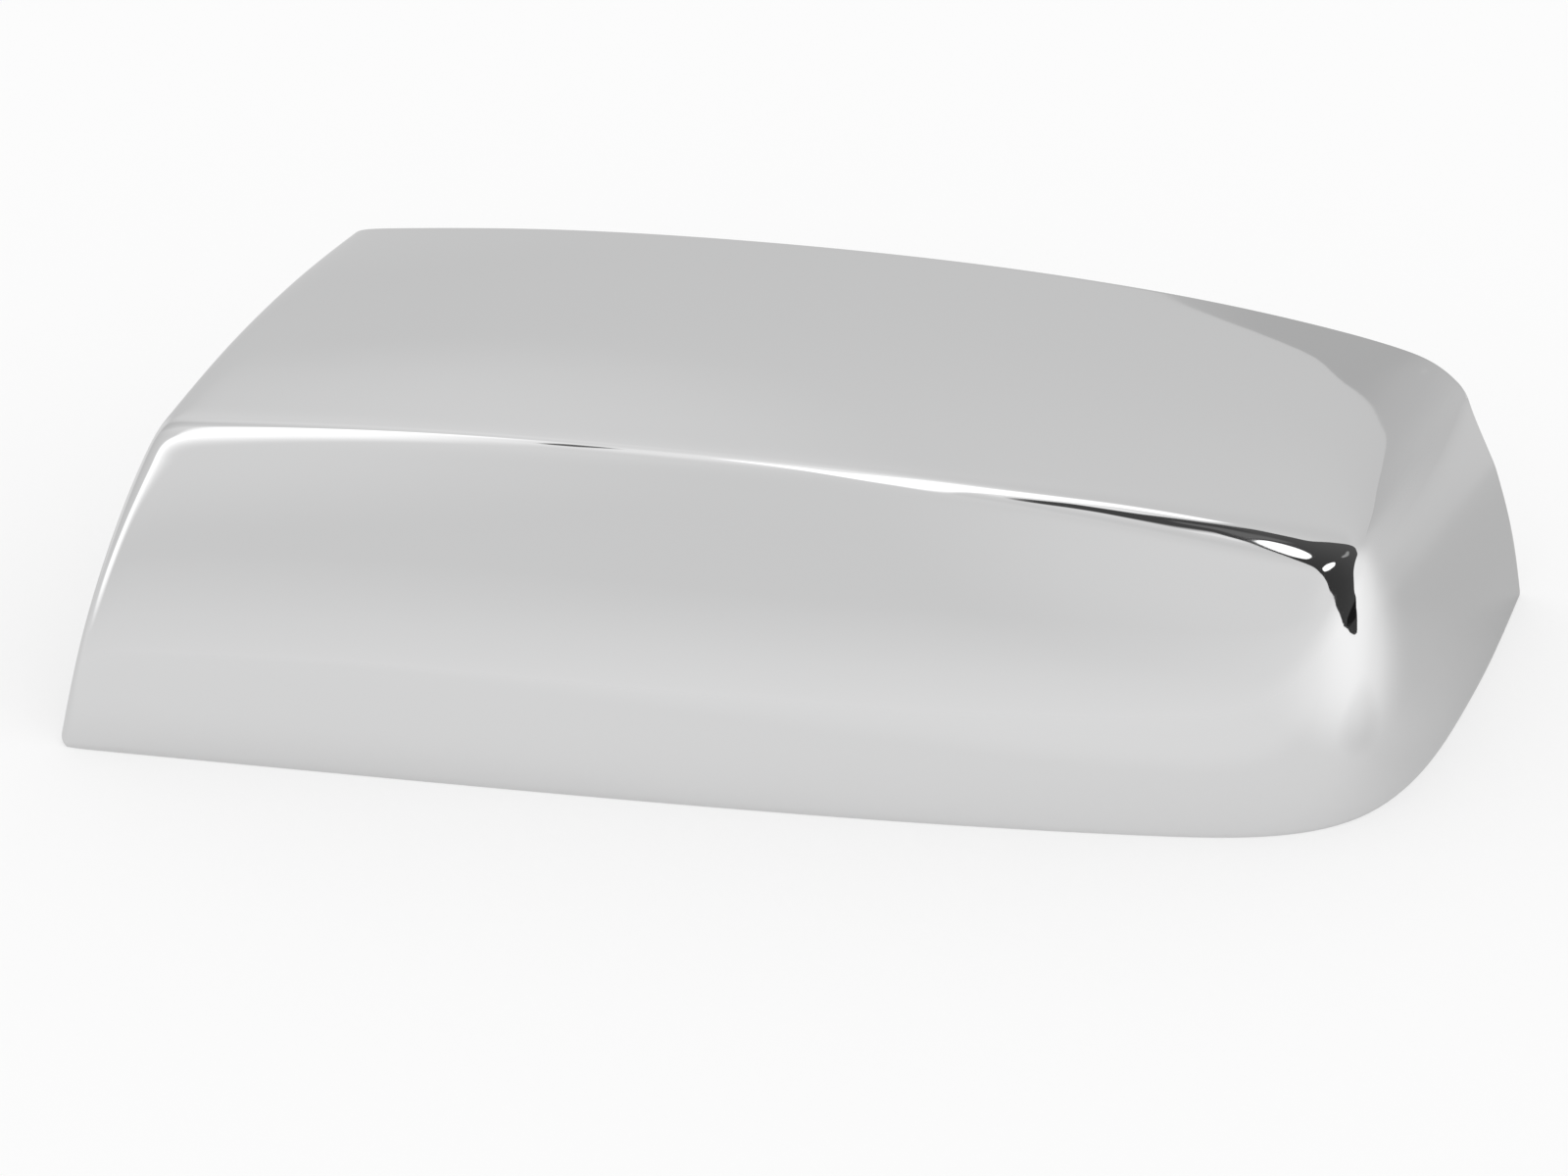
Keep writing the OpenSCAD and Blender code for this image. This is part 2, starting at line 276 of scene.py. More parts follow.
@dataclass
class GuideNet:
    """Guide points of the skin, 13 columns by 10 rows, and the smooth surface over them.

    Columns run from the return lip round the outboard bend, and rows run from the bottom
    rim over the shoulder to behind the rear rim.
    """

    sizes: CoverSizes = field(default_factory=CoverSizes)
    columns: int = 13
    rows: int = 10
    outer: list[list[Vector]] = field(init=False)
    inner: list[list[Vector]] = field(init=False)

    def __post_init__(self) -> None:
        """Works out both nets once."""
        self.outer = self._outer_net()
        self.inner = [[self._inset(i, j) for j in range(self.rows)] for i in range(self.columns)]

    @staticmethod
    def _arch(x: float, start: tuple, peak: tuple, end: tuple, power: float) -> float:
        """Height of a line that rises to its peak and falls to its end.

        Args:
            x: Place along the length.
            start: Place and height of the line's inboard end.
            peak: Place and height of its highest point.
            end: Place and height of its outboard end.
            power: How late the outboard fall comes.

        Returns:
            The height at x.
        """
        if x < peak[0]:
            return peak[1] - (peak[1] - start[1]) * ((peak[0] - x) / (peak[0] - start[0])) ** 2
        return peak[1] - (peak[1] - end[1]) * ((x - peak[0]) / (end[0] - peak[0])) ** power

    @staticmethod
    def _steps(lead: float, reach: float) -> list[float]:
        """Places of the eight columns before the outboard bend, as fractions of a side."""
        between = [mix(lead, 1.0 - reach, k / 5.0) for k in range(1, 5)]
        return [0.0, lead, *between, 1.0 - reach, 1.0]

    @staticmethod
    def _steps_after(reach: float) -> list[float]:
        """Places of the three columns after the bend."""
        return [reach, mix(reach, 1.0, 0.5), 1.0]

    def _bottom_line(self) -> list[Vector]:
        """Guide points along the bottom rim."""
        s = self.sizes
        front = math.hypot(s.corner_x, s.corner_y)
        side = math.hypot(s.length - s.corner_x, s.depth - s.corner_y)
        line = [
            Vector((s.corner_x * t, s.corner_y * t**4, 0.0))
            for t in self._steps(s.lip_reach / front, s.corner_reach_front / front)
        ]
        for t in self._steps_after(s.corner_reach_side / side):
            x = mix(s.corner_x, s.length, t) + s.side_bow * hump(t)
            line.append(Vector((x, mix(s.corner_y, s.depth, t), 0.0)))
        return line

    def _shoulder_line(self) -> list[Vector]:
        """Guide points along the shoulder and on over the outboard end."""
        s = self.sizes
        inner, outer = Vector(s.shoulder_in), Vector(s.shoulder_out)
        rear = Vector((s.side_end_x, s.depth, s.side_end_z))
        length = (outer - inner).length
        line = []
        for t in self._steps(s.lip_reach / length, s.knuckle_reach / length):
            x = mix(inner.x, outer.x, t)
            peak = (s.shoulder_peak_x, s.shoulder_peak_z)
            height = self._arch(x, (inner.x, inner.z), peak, (outer.x, outer.z), 2.9)
            line.append(Vector((x, mix(inner.y, outer.y, t * t), height)))
        for t in self._steps_after(s.knuckle_reach / (rear - outer).length):
            line.append(mix(outer, rear, t) + Vector((0.0, 0.0, s.end_rise * hump(t))))
        return line

    def _rear_line(self) -> list[Vector]:
        """Guide points along the rear rim."""
        s = self.sizes
        length = s.rear_turn_x - s.rear_in_x
        places = [
            mix(s.rear_in_x, s.rear_turn_x, t)
            for t in self._steps(s.lip_reach / length, s.rear_turn_reach / length)
        ]
        places += [mix(s.rear_turn_x, s.rear_corner_x, t) for t in (0.44, 0.72, 1.0)]
        start, peak = (s.rear_in_x, s.rear_in_z), (s.rear_peak_x, s.rear_peak_z)
        end = (s.rear_corner_x, s.rear_corner_z)
        return [Vector((x, s.depth, self._arch(x, start, peak, end, 2.75))) for x in places]

    def _softness(self, i: int) -> float:
        """Reach of the rounding across the shoulder at one column."""
        s = self.sizes
        if i < 3:
            return mix(s.shoulder_soft_in, s.shoulder_soft_mid, smooth(i / 3.0))
        return mix(s.shoulder_soft_mid, s.shoulder_soft_out, smooth((i - 3) / 5.0))

    def _column(self, i: int, b: Vector, c: Vector, r: Vector) -> list[Vector]:
        """One column of guide points from the bottom rim to the rear rim.

        Args:
            i: Number of the column, from the inboard edge.
            b: Its point on the bottom rim.
            c: Its point on the shoulder.
            r: Its point on the rear rim.

        Returns:
            Nine points.
        """
        s = self.sizes
        turn = clamped((i - 6) / 3.0)
        past = max(0.0, (i - 7) / 3.0)
        angle = math.radians(90.0 * turn)
        out = Vector((math.sin(angle), -math.cos(angle), 0.15)).normalized()
        up = Vector((0.9 * past, 0.0, 1.0)).normalized()
        bulge = s.front_bulge * (1.0 - 0.3 * turn)
        crown = mix(s.top_crown, s.corner_bulge, past)
        low = [mix(b, c, t) + out * bulge * hump(t) for t in (0.36, 0.72)]
        high = [mix(c, r, t) + up * crown * hump(t) for t in (0.36, 0.72)]
        soft = self._softness(i)
        above = min(soft, (high[0] - c).length * 0.5)
        below_point = c + (low[1] - c).normalized() * soft
        above_point = c + (high[0] - c).normalized() * above
        return [b, *low, below_point, c, above_point, *high, r]

    def _bowed(self, p: Vector, c: Vector, i: int) -> Vector:
        """Moves a point near the inboard edge outwards, as that edge bows."""
        s = self.sizes
        over_top = p.y > c.y
        t = (p.y - c.y) / (s.depth - c.y) if over_top else p.z / c.z
        bow = s.lip_bow_top if over_top else s.lip_bow_front
        return p - Vector(((1.0 - i / 6.0) ** 2 * hump(t) * bow, 0.0, 0.0))

    def _skin(self) -> list[list[Vector]]:
        """Eleven columns from the inboard edge to the outboard rear edge."""
        lines = zip(self._bottom_line(), self._shoulder_line(), self._rear_line())
        skin = []
        for i, (b, c, r) in enumerate(lines):
            column = self._column(i, b, c, r)
            skin.append([self._bowed(p, c, i) for p in column] if i < 6 else column)
        return skin

    def _return_lip(self, skin: list[list[Vector]]) -> list[Vector]:
        """Column of the lip that turns inwards from the inboard edge."""
        s = self.sizes
        lip = []
        for j, p in enumerate(skin[0]):
            along = (skin[0][min(j + 1, 8)] - skin[0][max(j - 1, 0)]).normalized()
            across = (skin[1][j] - p).normalized()
            q = p - across.cross(along).normalized() * s.lip_depth + across * s.lip_in
            lip.append(Vector((q.x, q.y, 0.0 if j == 0 else q.z)))
        return lip

    def _carried(self, a: Vector, b: Vector) -> Vector:
        """Carries the line from a through b on behind the rear rim."""
        return b + (b - a) * (self.sizes.behind / (b.y - a.y))

    def _outer_net(self) -> list[list[Vector]]:
        """Guide points of the show side."""
        skin = self._skin()
        covered = [self._return_lip(skin), *skin]
        top_behind = [self._carried(column[7], column[8]) for column in covered[:11]]
        side_behind = [self._carried(covered[10][j], covered[11][j]) for j in range(7)]
        corner = covered[11][8]
        slope = (top_behind[10] - covered[10][8] + side_behind[6] - covered[11][6]) / 2.0
        tuck = self.sizes.corner_tuck
        to_top = (covered[10][8] - corner).normalized() * tuck
        to_side = (covered[11][7] - corner).normalized() * tuck
        towards_top, middle, towards_side = (corner + slope + d for d in (to_top, Vector(), to_side))
        last = [*side_behind, mix(side_behind[6], towards_side, 0.5), towards_side, middle]
        return [
            *[[*column, behind] for column, behind in zip(covered[:11], top_behind)],
            [*covered[11], towards_top],
            last,
        ]

    def _facet(self, i: int, j: int) -> Vector:
        """Outward normal of the facet between four guide points."""
        net = self.outer
        across = net[i + 1][j + 1] - net[i][j]
        return across.cross(net[i][j + 1] - net[i + 1][j]).normalized()

    def _inset(self, i: int, j: int) -> Vector:
        """Moves a guide point in by the wall, square to the facets around it."""
        around = [
            self._facet(a, b)
            for a in range(max(i - 1, 0), min(i, self.columns - 2) + 1)
            for b in range(max(j - 1, 0), min(j, self.rows - 2) + 1)
        ]
        lean = sum(around, Vector()) / len(around)
        if j == 0:
            lean.z = 0.0
        return self.outer[i][j] - lean * (self.sizes.wall / lean.length_squared)

    @staticmethod
    def _weights(t: float) -> tuple[float, float, float, float]:
        """Weights of four guide points in a row at a place between the middle two."""
        return (
            (1.0 - t) ** 3 / 6.0,
            (3.0 * t**3 - 6.0 * t**2 + 4.0) / 6.0,
            (-3.0 * t**3 + 3.0 * t**2 + 3.0 * t + 1.0) / 6.0,
            t**3 / 6.0,
        )

    @staticmethod
    def _extended(row: list[Vector], k: int) -> Vector:
        """Point k of a row that is carried on straight past both its ends."""
        last = len(row) - 1
        if k < 0:
            return 2.0 * row[0] - row[1]
        return row[k] if k <= last else 2.0 * row[last] - row[last - 1]

    def _on_net(self, net: list[list[Vector]], u: float, v: float) -> Vector:
        """Point of the smooth surface over one net."""
        i, j = min(int(u), self.columns - 2), min(int(v), self.rows - 2)
        across, along = self._weights(u - i), self._weights(v - j)
        columns = [
            sum((w * self._extended(column, j - 1 + m) for m, w in enumerate(along)), Vector())
            for column in net
        ]
        return sum((w * self._extended(columns, i - 1 + k) for k, w in enumerate(across)), Vector())

    def wall_point(self, u: float, v: float, depth: float) -> Vector:
        """Point in the wall.

        Args:
            u: Column, in fractions.
            v: Row, in fractions.
            depth: 0 on the show side and 1 on the inside.

        Returns:
            The point, in millimetres.
        """
        return mix(self._on_net(self.outer, u, v), self._on_net(self.inner, u, v), depth)


@dataclass
class Moulding:
    """Where the net's own frame lies in the row's frame, taken from the CAD solid's box."""

    net: GuideNet = field(default_factory=GuideNet)

    def __post_init__(self) -> None:
        """Reads the solid's box."""
        low, high = (Vector(corner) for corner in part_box(NODE))
        self.low, self.high = low, high
        sizes = self.net.sizes
        self.shift = Vector((high.x - sizes.length * MM, high.y - sizes.depth * MM, 0.0))

    def placed(self, p: Vector) -> Vector:
        """Turns a point of the net, in millimetres, into one of the row's frame, in metres."""
        return p * MM + self.shift

    def in_wall(self, u: float, v: float, depth: float) -> Vector:
        """Point in the wall, in metres and in the row's frame."""
        return self.placed(self.net.wall_point(u, v, depth))


@dataclass
class CoverSkin:
    """The moulded skin: a guide cage, subdivided, cut at its rims and rounded over."""

    moulding: Moulding
    levels: int = 4
    rim_round: float = 0.3
    round_angles: tuple[float, ...] = (0.0, 30.0, 60.0, 90.0)
    lip_crease: float = 0.9
    short_edge: float = 0.3

    def build(self) -> bpy.types.Object:
        """Models the skin from a grid.

        Returns:
            The skin, as one closed mesh whose second material is for the inside.
        """
        skin = self._cage()
        levels = self.levels
        apply_modifier(
            skin, "Smooth skin", "SUBSURF",
            levels=levels, render_levels=levels, use_limit_surface=True,
        )
        self._round_corner(skin)
        self._cut_rim(skin, Rim.REAR)
        self._cut_rim(skin, Rim.BOTTOM)
        return skin

    def _cage(self) -> bpy.types.Object:
        """Grid shaped to the outer net and extruded through the wall to the inner net."""
        net = self.moulding.net
        spans = (net.columns - 1, net.rows - 1)
        deselect_all()
        bpy.ops.mesh.primitive_grid_add(x_subdivisions=spans[0], y_subdivisions=spans[1], size=1.0)
        cage = new_piece("mirror_cover_moulding")
        cells = {}
        for vertex in cage.data.vertices:
            i, j = ((c + 0.5) * n for c, n in zip(vertex.co, spans))
            cells[vertex.index] = (round(i), round(j))
        outer = {k: self.moulding.placed(net.outer[i][j]) for k, (i, j) in cells.items()}
        bpy.ops.object.mode_set(mode="EDIT")
        place_vertices(cage, outer)
        bpy.ops.mesh.select_all(action="SELECT")
        bpy.ops.mesh.extrude_region_move()
        mesh = bmesh.from_edit_mesh(cage.data)
        for face in mesh.faces:
            face.material_index = int(face.select)
        twins = {}
        for vertex in (v for v in mesh.verts if v.select):
            twins[vertex.index] = min(outer, key=lambda k: (outer[k] - vertex.co).length_squared)
        inner = {}
        for k, twin in twins.items():
            i, j = cells[twin]
            inner[k] = self.moulding.placed(net.inner[i][j])
            cells[k] = (i, j)
        place_vertices(cage, inner)
        self._crease_rims(cage, cells, set(inner))
        bpy.ops.mesh.select_all(action="SELECT")
        bpy.ops.mesh.normals_make_consistent(inside=False)
        sort_elements()
        bpy.ops.object.mode_set(mode="OBJECT")
        return cage

    def _crease_rims(self, cage: bpy.types.Object, cells: dict, inside: set) -> None:
        """Creases the edges of the strip that joins the two sheets.

        Args:
            cage: The cage, in edit mode.
            cells: Column and row of each vertex.
            inside: Vertices of the inner sheet.
        """
        last = (self.moulding.net.columns - 1, self.moulding.net.rows - 1)

        def is_strip(face: bmesh.types.BMFace) -> bool:
            """Whether a face joins the two sheets."""
            return len({vertex.index in inside for vertex in face.verts}) == 2

        def on_rim(edge: bmesh.types.BMEdge) -> bool:
            """Whether an edge is a rim's, or runs through the wall at a corner of the net."""
            if not any(is_strip(face) for face in edge.link_faces):
                return False
            a, b = (cells[vertex.index] for vertex in edge.verts)
            return a != b or (a[0] in (0, last[0]) and a[1] in (0, last[1]))

        def on_lip(edge: bmesh.types.BMEdge) -> bool:
            """Whether an edge runs along the free edge of the return lip."""
            a, b = (cells[vertex.index] for vertex in edge.verts)
            return on_rim(edge) and a != b and a[0] == b[0] == 0

        select_edges(cage, on_rim)
        bpy.ops.transform.edge_crease(value=1.0)
        select_edges(cage, on_lip)
        bpy.ops.transform.edge_crease(value=self.lip_crease - 1.0)

    def _round_corner(self, skin: bpy.types.Object) -> None:
        """Cuts the round of the inboard bottom corner.

        Args:
            skin: The skin.
        """
        net, sizes = self.moulding.net, self.moulding.net.sizes
        rise = net.outer[1][1] - net.outer[1][0]
        lean = math.atan2(rise.z, rise.x)
        radius = sizes.corner_round * MM
        reach = radius / math.tan(lean / 2.0)
        foot = Vector((self.moulding.low.x - reach + radius, self.moulding.low.y - sizes.lip_depth * MM, 0.0))
        centre = foot + Vector((reach, 0.0, radius))
        arc = []
        for k in range(13):
            angle = mix(-math.pi / 2.0, -math.pi - (math.pi / 2.0 - lean), k / 12.0)
            arc.append(centre + Vector((math.cos(angle), 0.0, math.sin(angle))) * radius)
        outline = [foot + Vector((-reach, 0.0, -reach)), foot + Vector((reach, 0.0, -reach)), *arc]
        outline.append(arc[-1] - Vector((2.0 * reach, 0.0, 0.0)))
        waste = outline_plate("corner_waste", outline, Vector((0.0, 4.0 * sizes.lip_depth * MM, 0.0)))
        apply_modifier(skin, "Corner round", "BOOLEAN", operation="DIFFERENCE", object=waste)
        bpy.data.objects.remove(waste)

    def _cut_rim(self, skin: bpy.types.Object, rim: Rim) -> None:
        """Cuts the skin off in a rim's plane and rounds the rim's edges over.

        Args:
            skin: The skin.
            rim: Which rim is cut.
        """
        radius = self.rim_round * MM
        if rim is Rim.REAR:
            outwards, end = Vector((0.0, 1.0, 0.0)), Vector((0.0, self.moulding.high.y, 0.0))
        else:
            outwards, end = Vector((0.0, 0.0, -1.0)), Vector()
        plane = end - outwards * radius
        activate(skin)
        bpy.ops.object.mode_set(mode="EDIT")
        bpy.ops.mesh.select_all(action="SELECT")
        bpy.ops.mesh.bisect(
            plane_co=plane, plane_no=outwards, use_fill=True, clear_outer=True, threshold=1e-6
        )
        bpy.ops.mesh.select_all(action="SELECT")
        bpy.ops.mesh.normals_make_consistent(inside=False)
        sort_elements()

        def is_cap(face: bmesh.types.BMFace) -> bool:
            """Whether a face is the one that fills the cut."""
            return face.normal.dot(outwards) > 0.999 and all(
                abs((vertex.co - plane).dot(outwards)) < 1e-6 for vertex in face.verts
            )

        log.info("%s rim: %d cap faces", rim.value, select_faces(skin, is_cap))
        bpy.ops.mesh.remove_doubles(threshold=self.short_edge * MM)
        select_faces(skin, is_cap)
        for start, stop in zip(self.round_angles, self.round_angles[1:]):
            a, b = math.radians(start), math.radians(stop)
            bpy.ops.mesh.inset(
                thickness=radius * (math.cos(a) - math.cos(b)),
                depth=radius * (math.sin(b) - math.sin(a)),
                use_even_offset=False,
            )
        bpy.ops.object.mode_set(mode="OBJECT")


def join_solids(solid: bpy.types.Object, added: bpy.types.Object) -> None:
    """Fuses a second closed solid into the first and removes it.

    Args:
        solid: Solid that is kept.
        added: Solid that is fused into it.
    """
    apply_modifier(solid, f"Fuse {added.name}", "BOOLEAN", operation="UNION", object=added)
    bpy.data.objects.remove(added)


def copy_to(piece: bpy.types.Object, name: str, place: Vector, tilt: float = 0.0) -> bpy.types.Object:
    """Copies a piece that was modelled at the origin, with its own mesh, to its place.

    Args:
        piece: Piece that is copied.
        name: Name of the copy.
        place: Where its origin goes, in metres.
        tilt: Turn about X, in radians.

    Returns:
        The copy, with its place in its mesh.
    """
    activate(piece)
    bpy.ops.object.duplicate()
    copy = new_piece(name)
    copy.rotation_euler.x = tilt
    copy.location = place
    bpy.ops.object.transform_apply(location=True, rotation=True, scale=True)
    return copy


class Stand(Enum):
    """Which way a fitting stands off the wall."""

    BACK = "back"
    DOWN = "down"

    @property
    def way(self) -> Vector:
        """Direction in which the fitting points."""
        return Vector((0.0, 1.0, 0.0)) if self is Stand.BACK else Vector((0.0, 0.0, -1.0))

    @property
    def tilt(self) -> float:
        """Turn about X that brings the Y axis to that direction."""
        return 0.0 if self is Stand.BACK else -math.pi / 2.0


@dataclass(frozen=True)
class Seat:
    """Where a fitting sits on the wall, by column and row of the net, and which way it stands."""

    column: float
    row: float
    stand: Stand = Stand.BACK


@dataclass
class WallBoss:
    """Block from the middle of the wall to a flat face, fitted to the curve of the wall."""

    moulding: Moulding
    width: float
    height: float
    depth: float
    edge_round: float = 0.5
    probe: float = 0.1

    def face(self, seat: Seat) -> Vector:
        """Middle of the boss's flat face, in metres."""
        return self.moulding.in_wall(seat.column, seat.row, 1.0) + seat.stand.way * self.depth * MM

    def build(self, seat: Seat, name: str) -> bpy.types.Object:
        """Models the boss from a cube.

        Args:
            seat: Where it sits.
            name: Name of the boss.

        Returns:
            The boss.
        """
        u, v, way = seat.column, seat.row, seat.stand.way
        middle = self.moulding.in_wall
        wide = (middle(u + self.probe, v, 0.5) - middle(u - self.probe, v, 0.5)).length
        high = (middle(u, v + self.probe, 0.5) - middle(u, v - self.probe, 0.5)).length
        du, dv = self.width * MM * self.probe / wide, self.height * MM * self.probe / high
        end = self.face(seat).dot(way)
        deselect_all()
        bpy.ops.mesh.primitive_cube_add(size=1.0)
        boss = new_piece(name)
        places = {}
        for vertex in boss.data.vertices:
            corner = vertex.co
            up_rows = corner.z if seat.stand is Stand.BACK else corner.y
            foot = middle(u + math.copysign(du, corner.x), v + math.copysign(dv, up_rows), 0.5)
            lift = end - foot.dot(way) if corner.dot(way) > 0.0 else 0.0
            places[vertex.index] = foot + way * lift
        bpy.ops.object.mode_set(mode="EDIT")
        place_vertices(boss, places)
        select_edges(boss, lambda edge: any(face.normal.dot(way) > 0.95 for face in edge.link_faces))
        bpy.ops.mesh.bevel(offset=self.edge_round * MM, segments=2, affect="EDGES")
        bpy.ops.object.mode_set(mode="OBJECT")
        return boss


@dataclass
class SnapHooks:
    """Springy tabs that end in a barb, each on a boss in the wall."""

    moulding: Moulding
    width: float = 10.0
    thickness: float = 2.0
    length: float = 14.0
    barb: float = 1.8
    ramp: float = 4.0
    nose: float = 0.6
    rim: float = 2.2
    sunk: float = 1.0
    front_depth: float = 5.0
    hanging_depth: float = 3.0
    front_row: float = 1.25
    front_columns: tuple[float, ...] = (2.2, 4.5, 6.9)
    hanging_row: float = 7.4
    hanging_columns: tuple[float, ...] = (3.3, 6.3)

    def build(self) -> list[bpy.types.Object]:
        """Models one tab, copies it to every seat and fuses each copy with its boss.

        Returns:
            The hooks.
        """
        seats = [Seat(u, self.front_row) for u in self.front_columns]
        seats += [Seat(u, self.hanging_row, Stand.DOWN) for u in self.hanging_columns]
        pattern = self._tab()
        hooks = []
        for k, seat in enumerate(seats):
            depth = self.front_depth if seat.stand is Stand.BACK else self.hanging_depth
            boss = WallBoss(
                self.moulding, self.width + 2.0 * self.rim, self.thickness + 2.0 * self.rim, depth
            )
            hook = boss.build(seat, f"hook_{k}")
            root = boss.face(seat) - seat.stand.way * self.sunk * MM
            join_solids(hook, copy_to(pattern, f"hook_tab_{k}", root, seat.stand.tilt))
            hooks.append(hook)
        bpy.data.objects.remove(pattern)
        return hooks

    def _tab(self) -> bpy.types.Object:
        """Models the tab at the origin, along Y, with its barb upwards."""
        length, half = self.length * MM, self.thickness * MM / 2.0
        ramp = length - self.ramp * MM
        step, top = ramp - self.nose * MM, half + self.barb * MM
        deselect_all()
        bpy.ops.mesh.primitive_cube_add(
            size=1.0, location=(0.0, length / 2.0, 0.0), scale=(self.width * MM, length, 2.0 * half)
        )
        tab = new_piece("hook_tab")
        bpy.ops.object.transform_apply(location=True, rotation=False, scale=True)
        bpy.ops.object.mode_set(mode="EDIT")
        for cut in (step, ramp):
            bpy.ops.mesh.select_all(action="SELECT")
            bpy.ops.mesh.bisect(plane_co=(0.0, cut, 0.0), plane_no=(0.0, 1.0, 0.0), threshold=1e-7)
        select_faces(tab, lambda face: face.normal.z > 0.9 and face.calc_center_median().y > step)
        bpy.ops.mesh.extrude_region_move(TRANSFORM_OT_translate={"value": (0.0, 0.0, top - half)})

        def at_tip(edge: bmesh.types.BMEdge, low: float, high: float) -> bool:
            """Whether an edge lies across the tip, between two heights."""
            return all(v.co.y > 0.999 * length and low < v.co.z < high for v in edge.verts)

        select_edges(tab, lambda edge: at_tip(edge, 0.5 * (half + top), 2.0 * top))
        bpy.ops.transform.translate(value=(0.0, 0.0, half - top))
        select_edges(tab, lambda edge: at_tip(edge, -2.0 * half, 0.0))
        bpy.ops.mesh.bevel(offset=self.nose * MM, segments=1, affect="EDGES")
        bpy.ops.mesh.select_all(action="SELECT")
        bpy.ops.mesh.remove_doubles(threshold=1e-7)
        bpy.ops.mesh.normals_make_consistent(inside=False)
        bpy.ops.object.mode_set(mode="OBJECT")
        return tab


@dataclass
class LocatingPins:
    """Round pins with tapered tips, each on a square boss behind the front."""

    moulding: Moulding
    radius: float = 3.0
    length: float = 12.0
    depth: float = 7.0
    rim: float = 4.5
    tip: float = 1.2
    taper: float = 0.8
    sunk: float = 1.0
    row: float = 2.0
    columns: tuple[float, ...] = (2.9, 6.2)
    facets: int = 48

    def build(self) -> list[bpy.types.Object]:
        """Models one shank, copies it to every seat and fuses each copy with its boss.

        Returns:
            The pins.
        """
        side = 2.0 * (self.radius + self.rim)
        boss = WallBoss(self.moulding, side, side, self.depth)
        pattern = self._shank()
        pins = []
        for k, column in enumerate(self.columns):
            seat = Seat(column, self.row)
            pin = boss.build(seat, f"pin_{k}")
            root = boss.face(seat) - seat.stand.way * self.sunk * MM
            join_solids(pin, copy_to(pattern, f"pin_shank_{k}", root))
            pins.append(pin)
        bpy.data.objects.remove(pattern)
        return pins

    def _shank(self) -> bpy.types.Object:
        """Models the shank at the origin, along Y."""
        full = (self.length + self.sunk) * MM
        deselect_all()
        bpy.ops.mesh.primitive_cylinder_add(
            vertices=self.facets, radius=self.radius * MM, depth=full,
            location=(0.0, full / 2.0, 0.0), rotation=(math.pi / 2.0, 0.0, 0.0),
        )
        shank = new_piece("pin_shank")
        bpy.ops.object.transform_apply(location=True, rotation=True, scale=True)
        bpy.ops.object.mode_set(mode="EDIT")
        select_faces(shank, lambda face: face.normal.y > 0.9)
        bpy.ops.mesh.inset(thickness=self.taper * MM, depth=self.tip * MM)
        bpy.ops.object.mode_set(mode="OBJECT")
        return shank


@dataclass
class ShoulderWebs:
    """Thin flat webs across the inside of the shoulder."""

    moulding: Moulding
    thickness: float = 1.5
    columns: tuple[float, ...] = (2.5, 3.9, 5.2, 6.5, 7.4)
    first_row: float = 2.5
    last_row: float = 6.25
    row_step: float = 0.25
    probe: float = 0.1
    tries: int = 5

    def build(self) -> list[bpy.types.Object]:
        """Models each web as a plate whose curved edge lies in the middle of the wall.

        Returns:
            The webs.
        """
        push = Vector((self.thickness * MM, 0.0, 0.0))
        count = round((self.last_row - self.first_row) / self.row_step)
        webs = []
        for k, column in enumerate(self.columns):
            x = self.moulding.in_wall(column, 4.0, 0.5).x
            arc = []
            for step in range(count + 1):
                row = self.first_row + step * self.row_step
                place = self.moulding.in_wall(self._column_at(column, x, row), row, 0.5)
                arc.append(place - push / 2.0)
            webs.append(outline_plate(f"web_{k}", arc, push))
        return webs

    def _column_at(self, column: float, x: float, row: float) -> float:
        """Column at which a row crosses a plane square to the length.

        Args:
            column: Column to start from.
            x: Where the plane lies, in metres.
            row: Row of the net.

        Returns:
            The column, in fractions.
        """
        for _ in range(self.tries):
            here = self.moulding.in_wall(column, row, 0.5).x
            slope = (self.moulding.in_wall(column + self.probe, row, 0.5).x - here) / self.probe
            column += (x - here) / slope
        return column


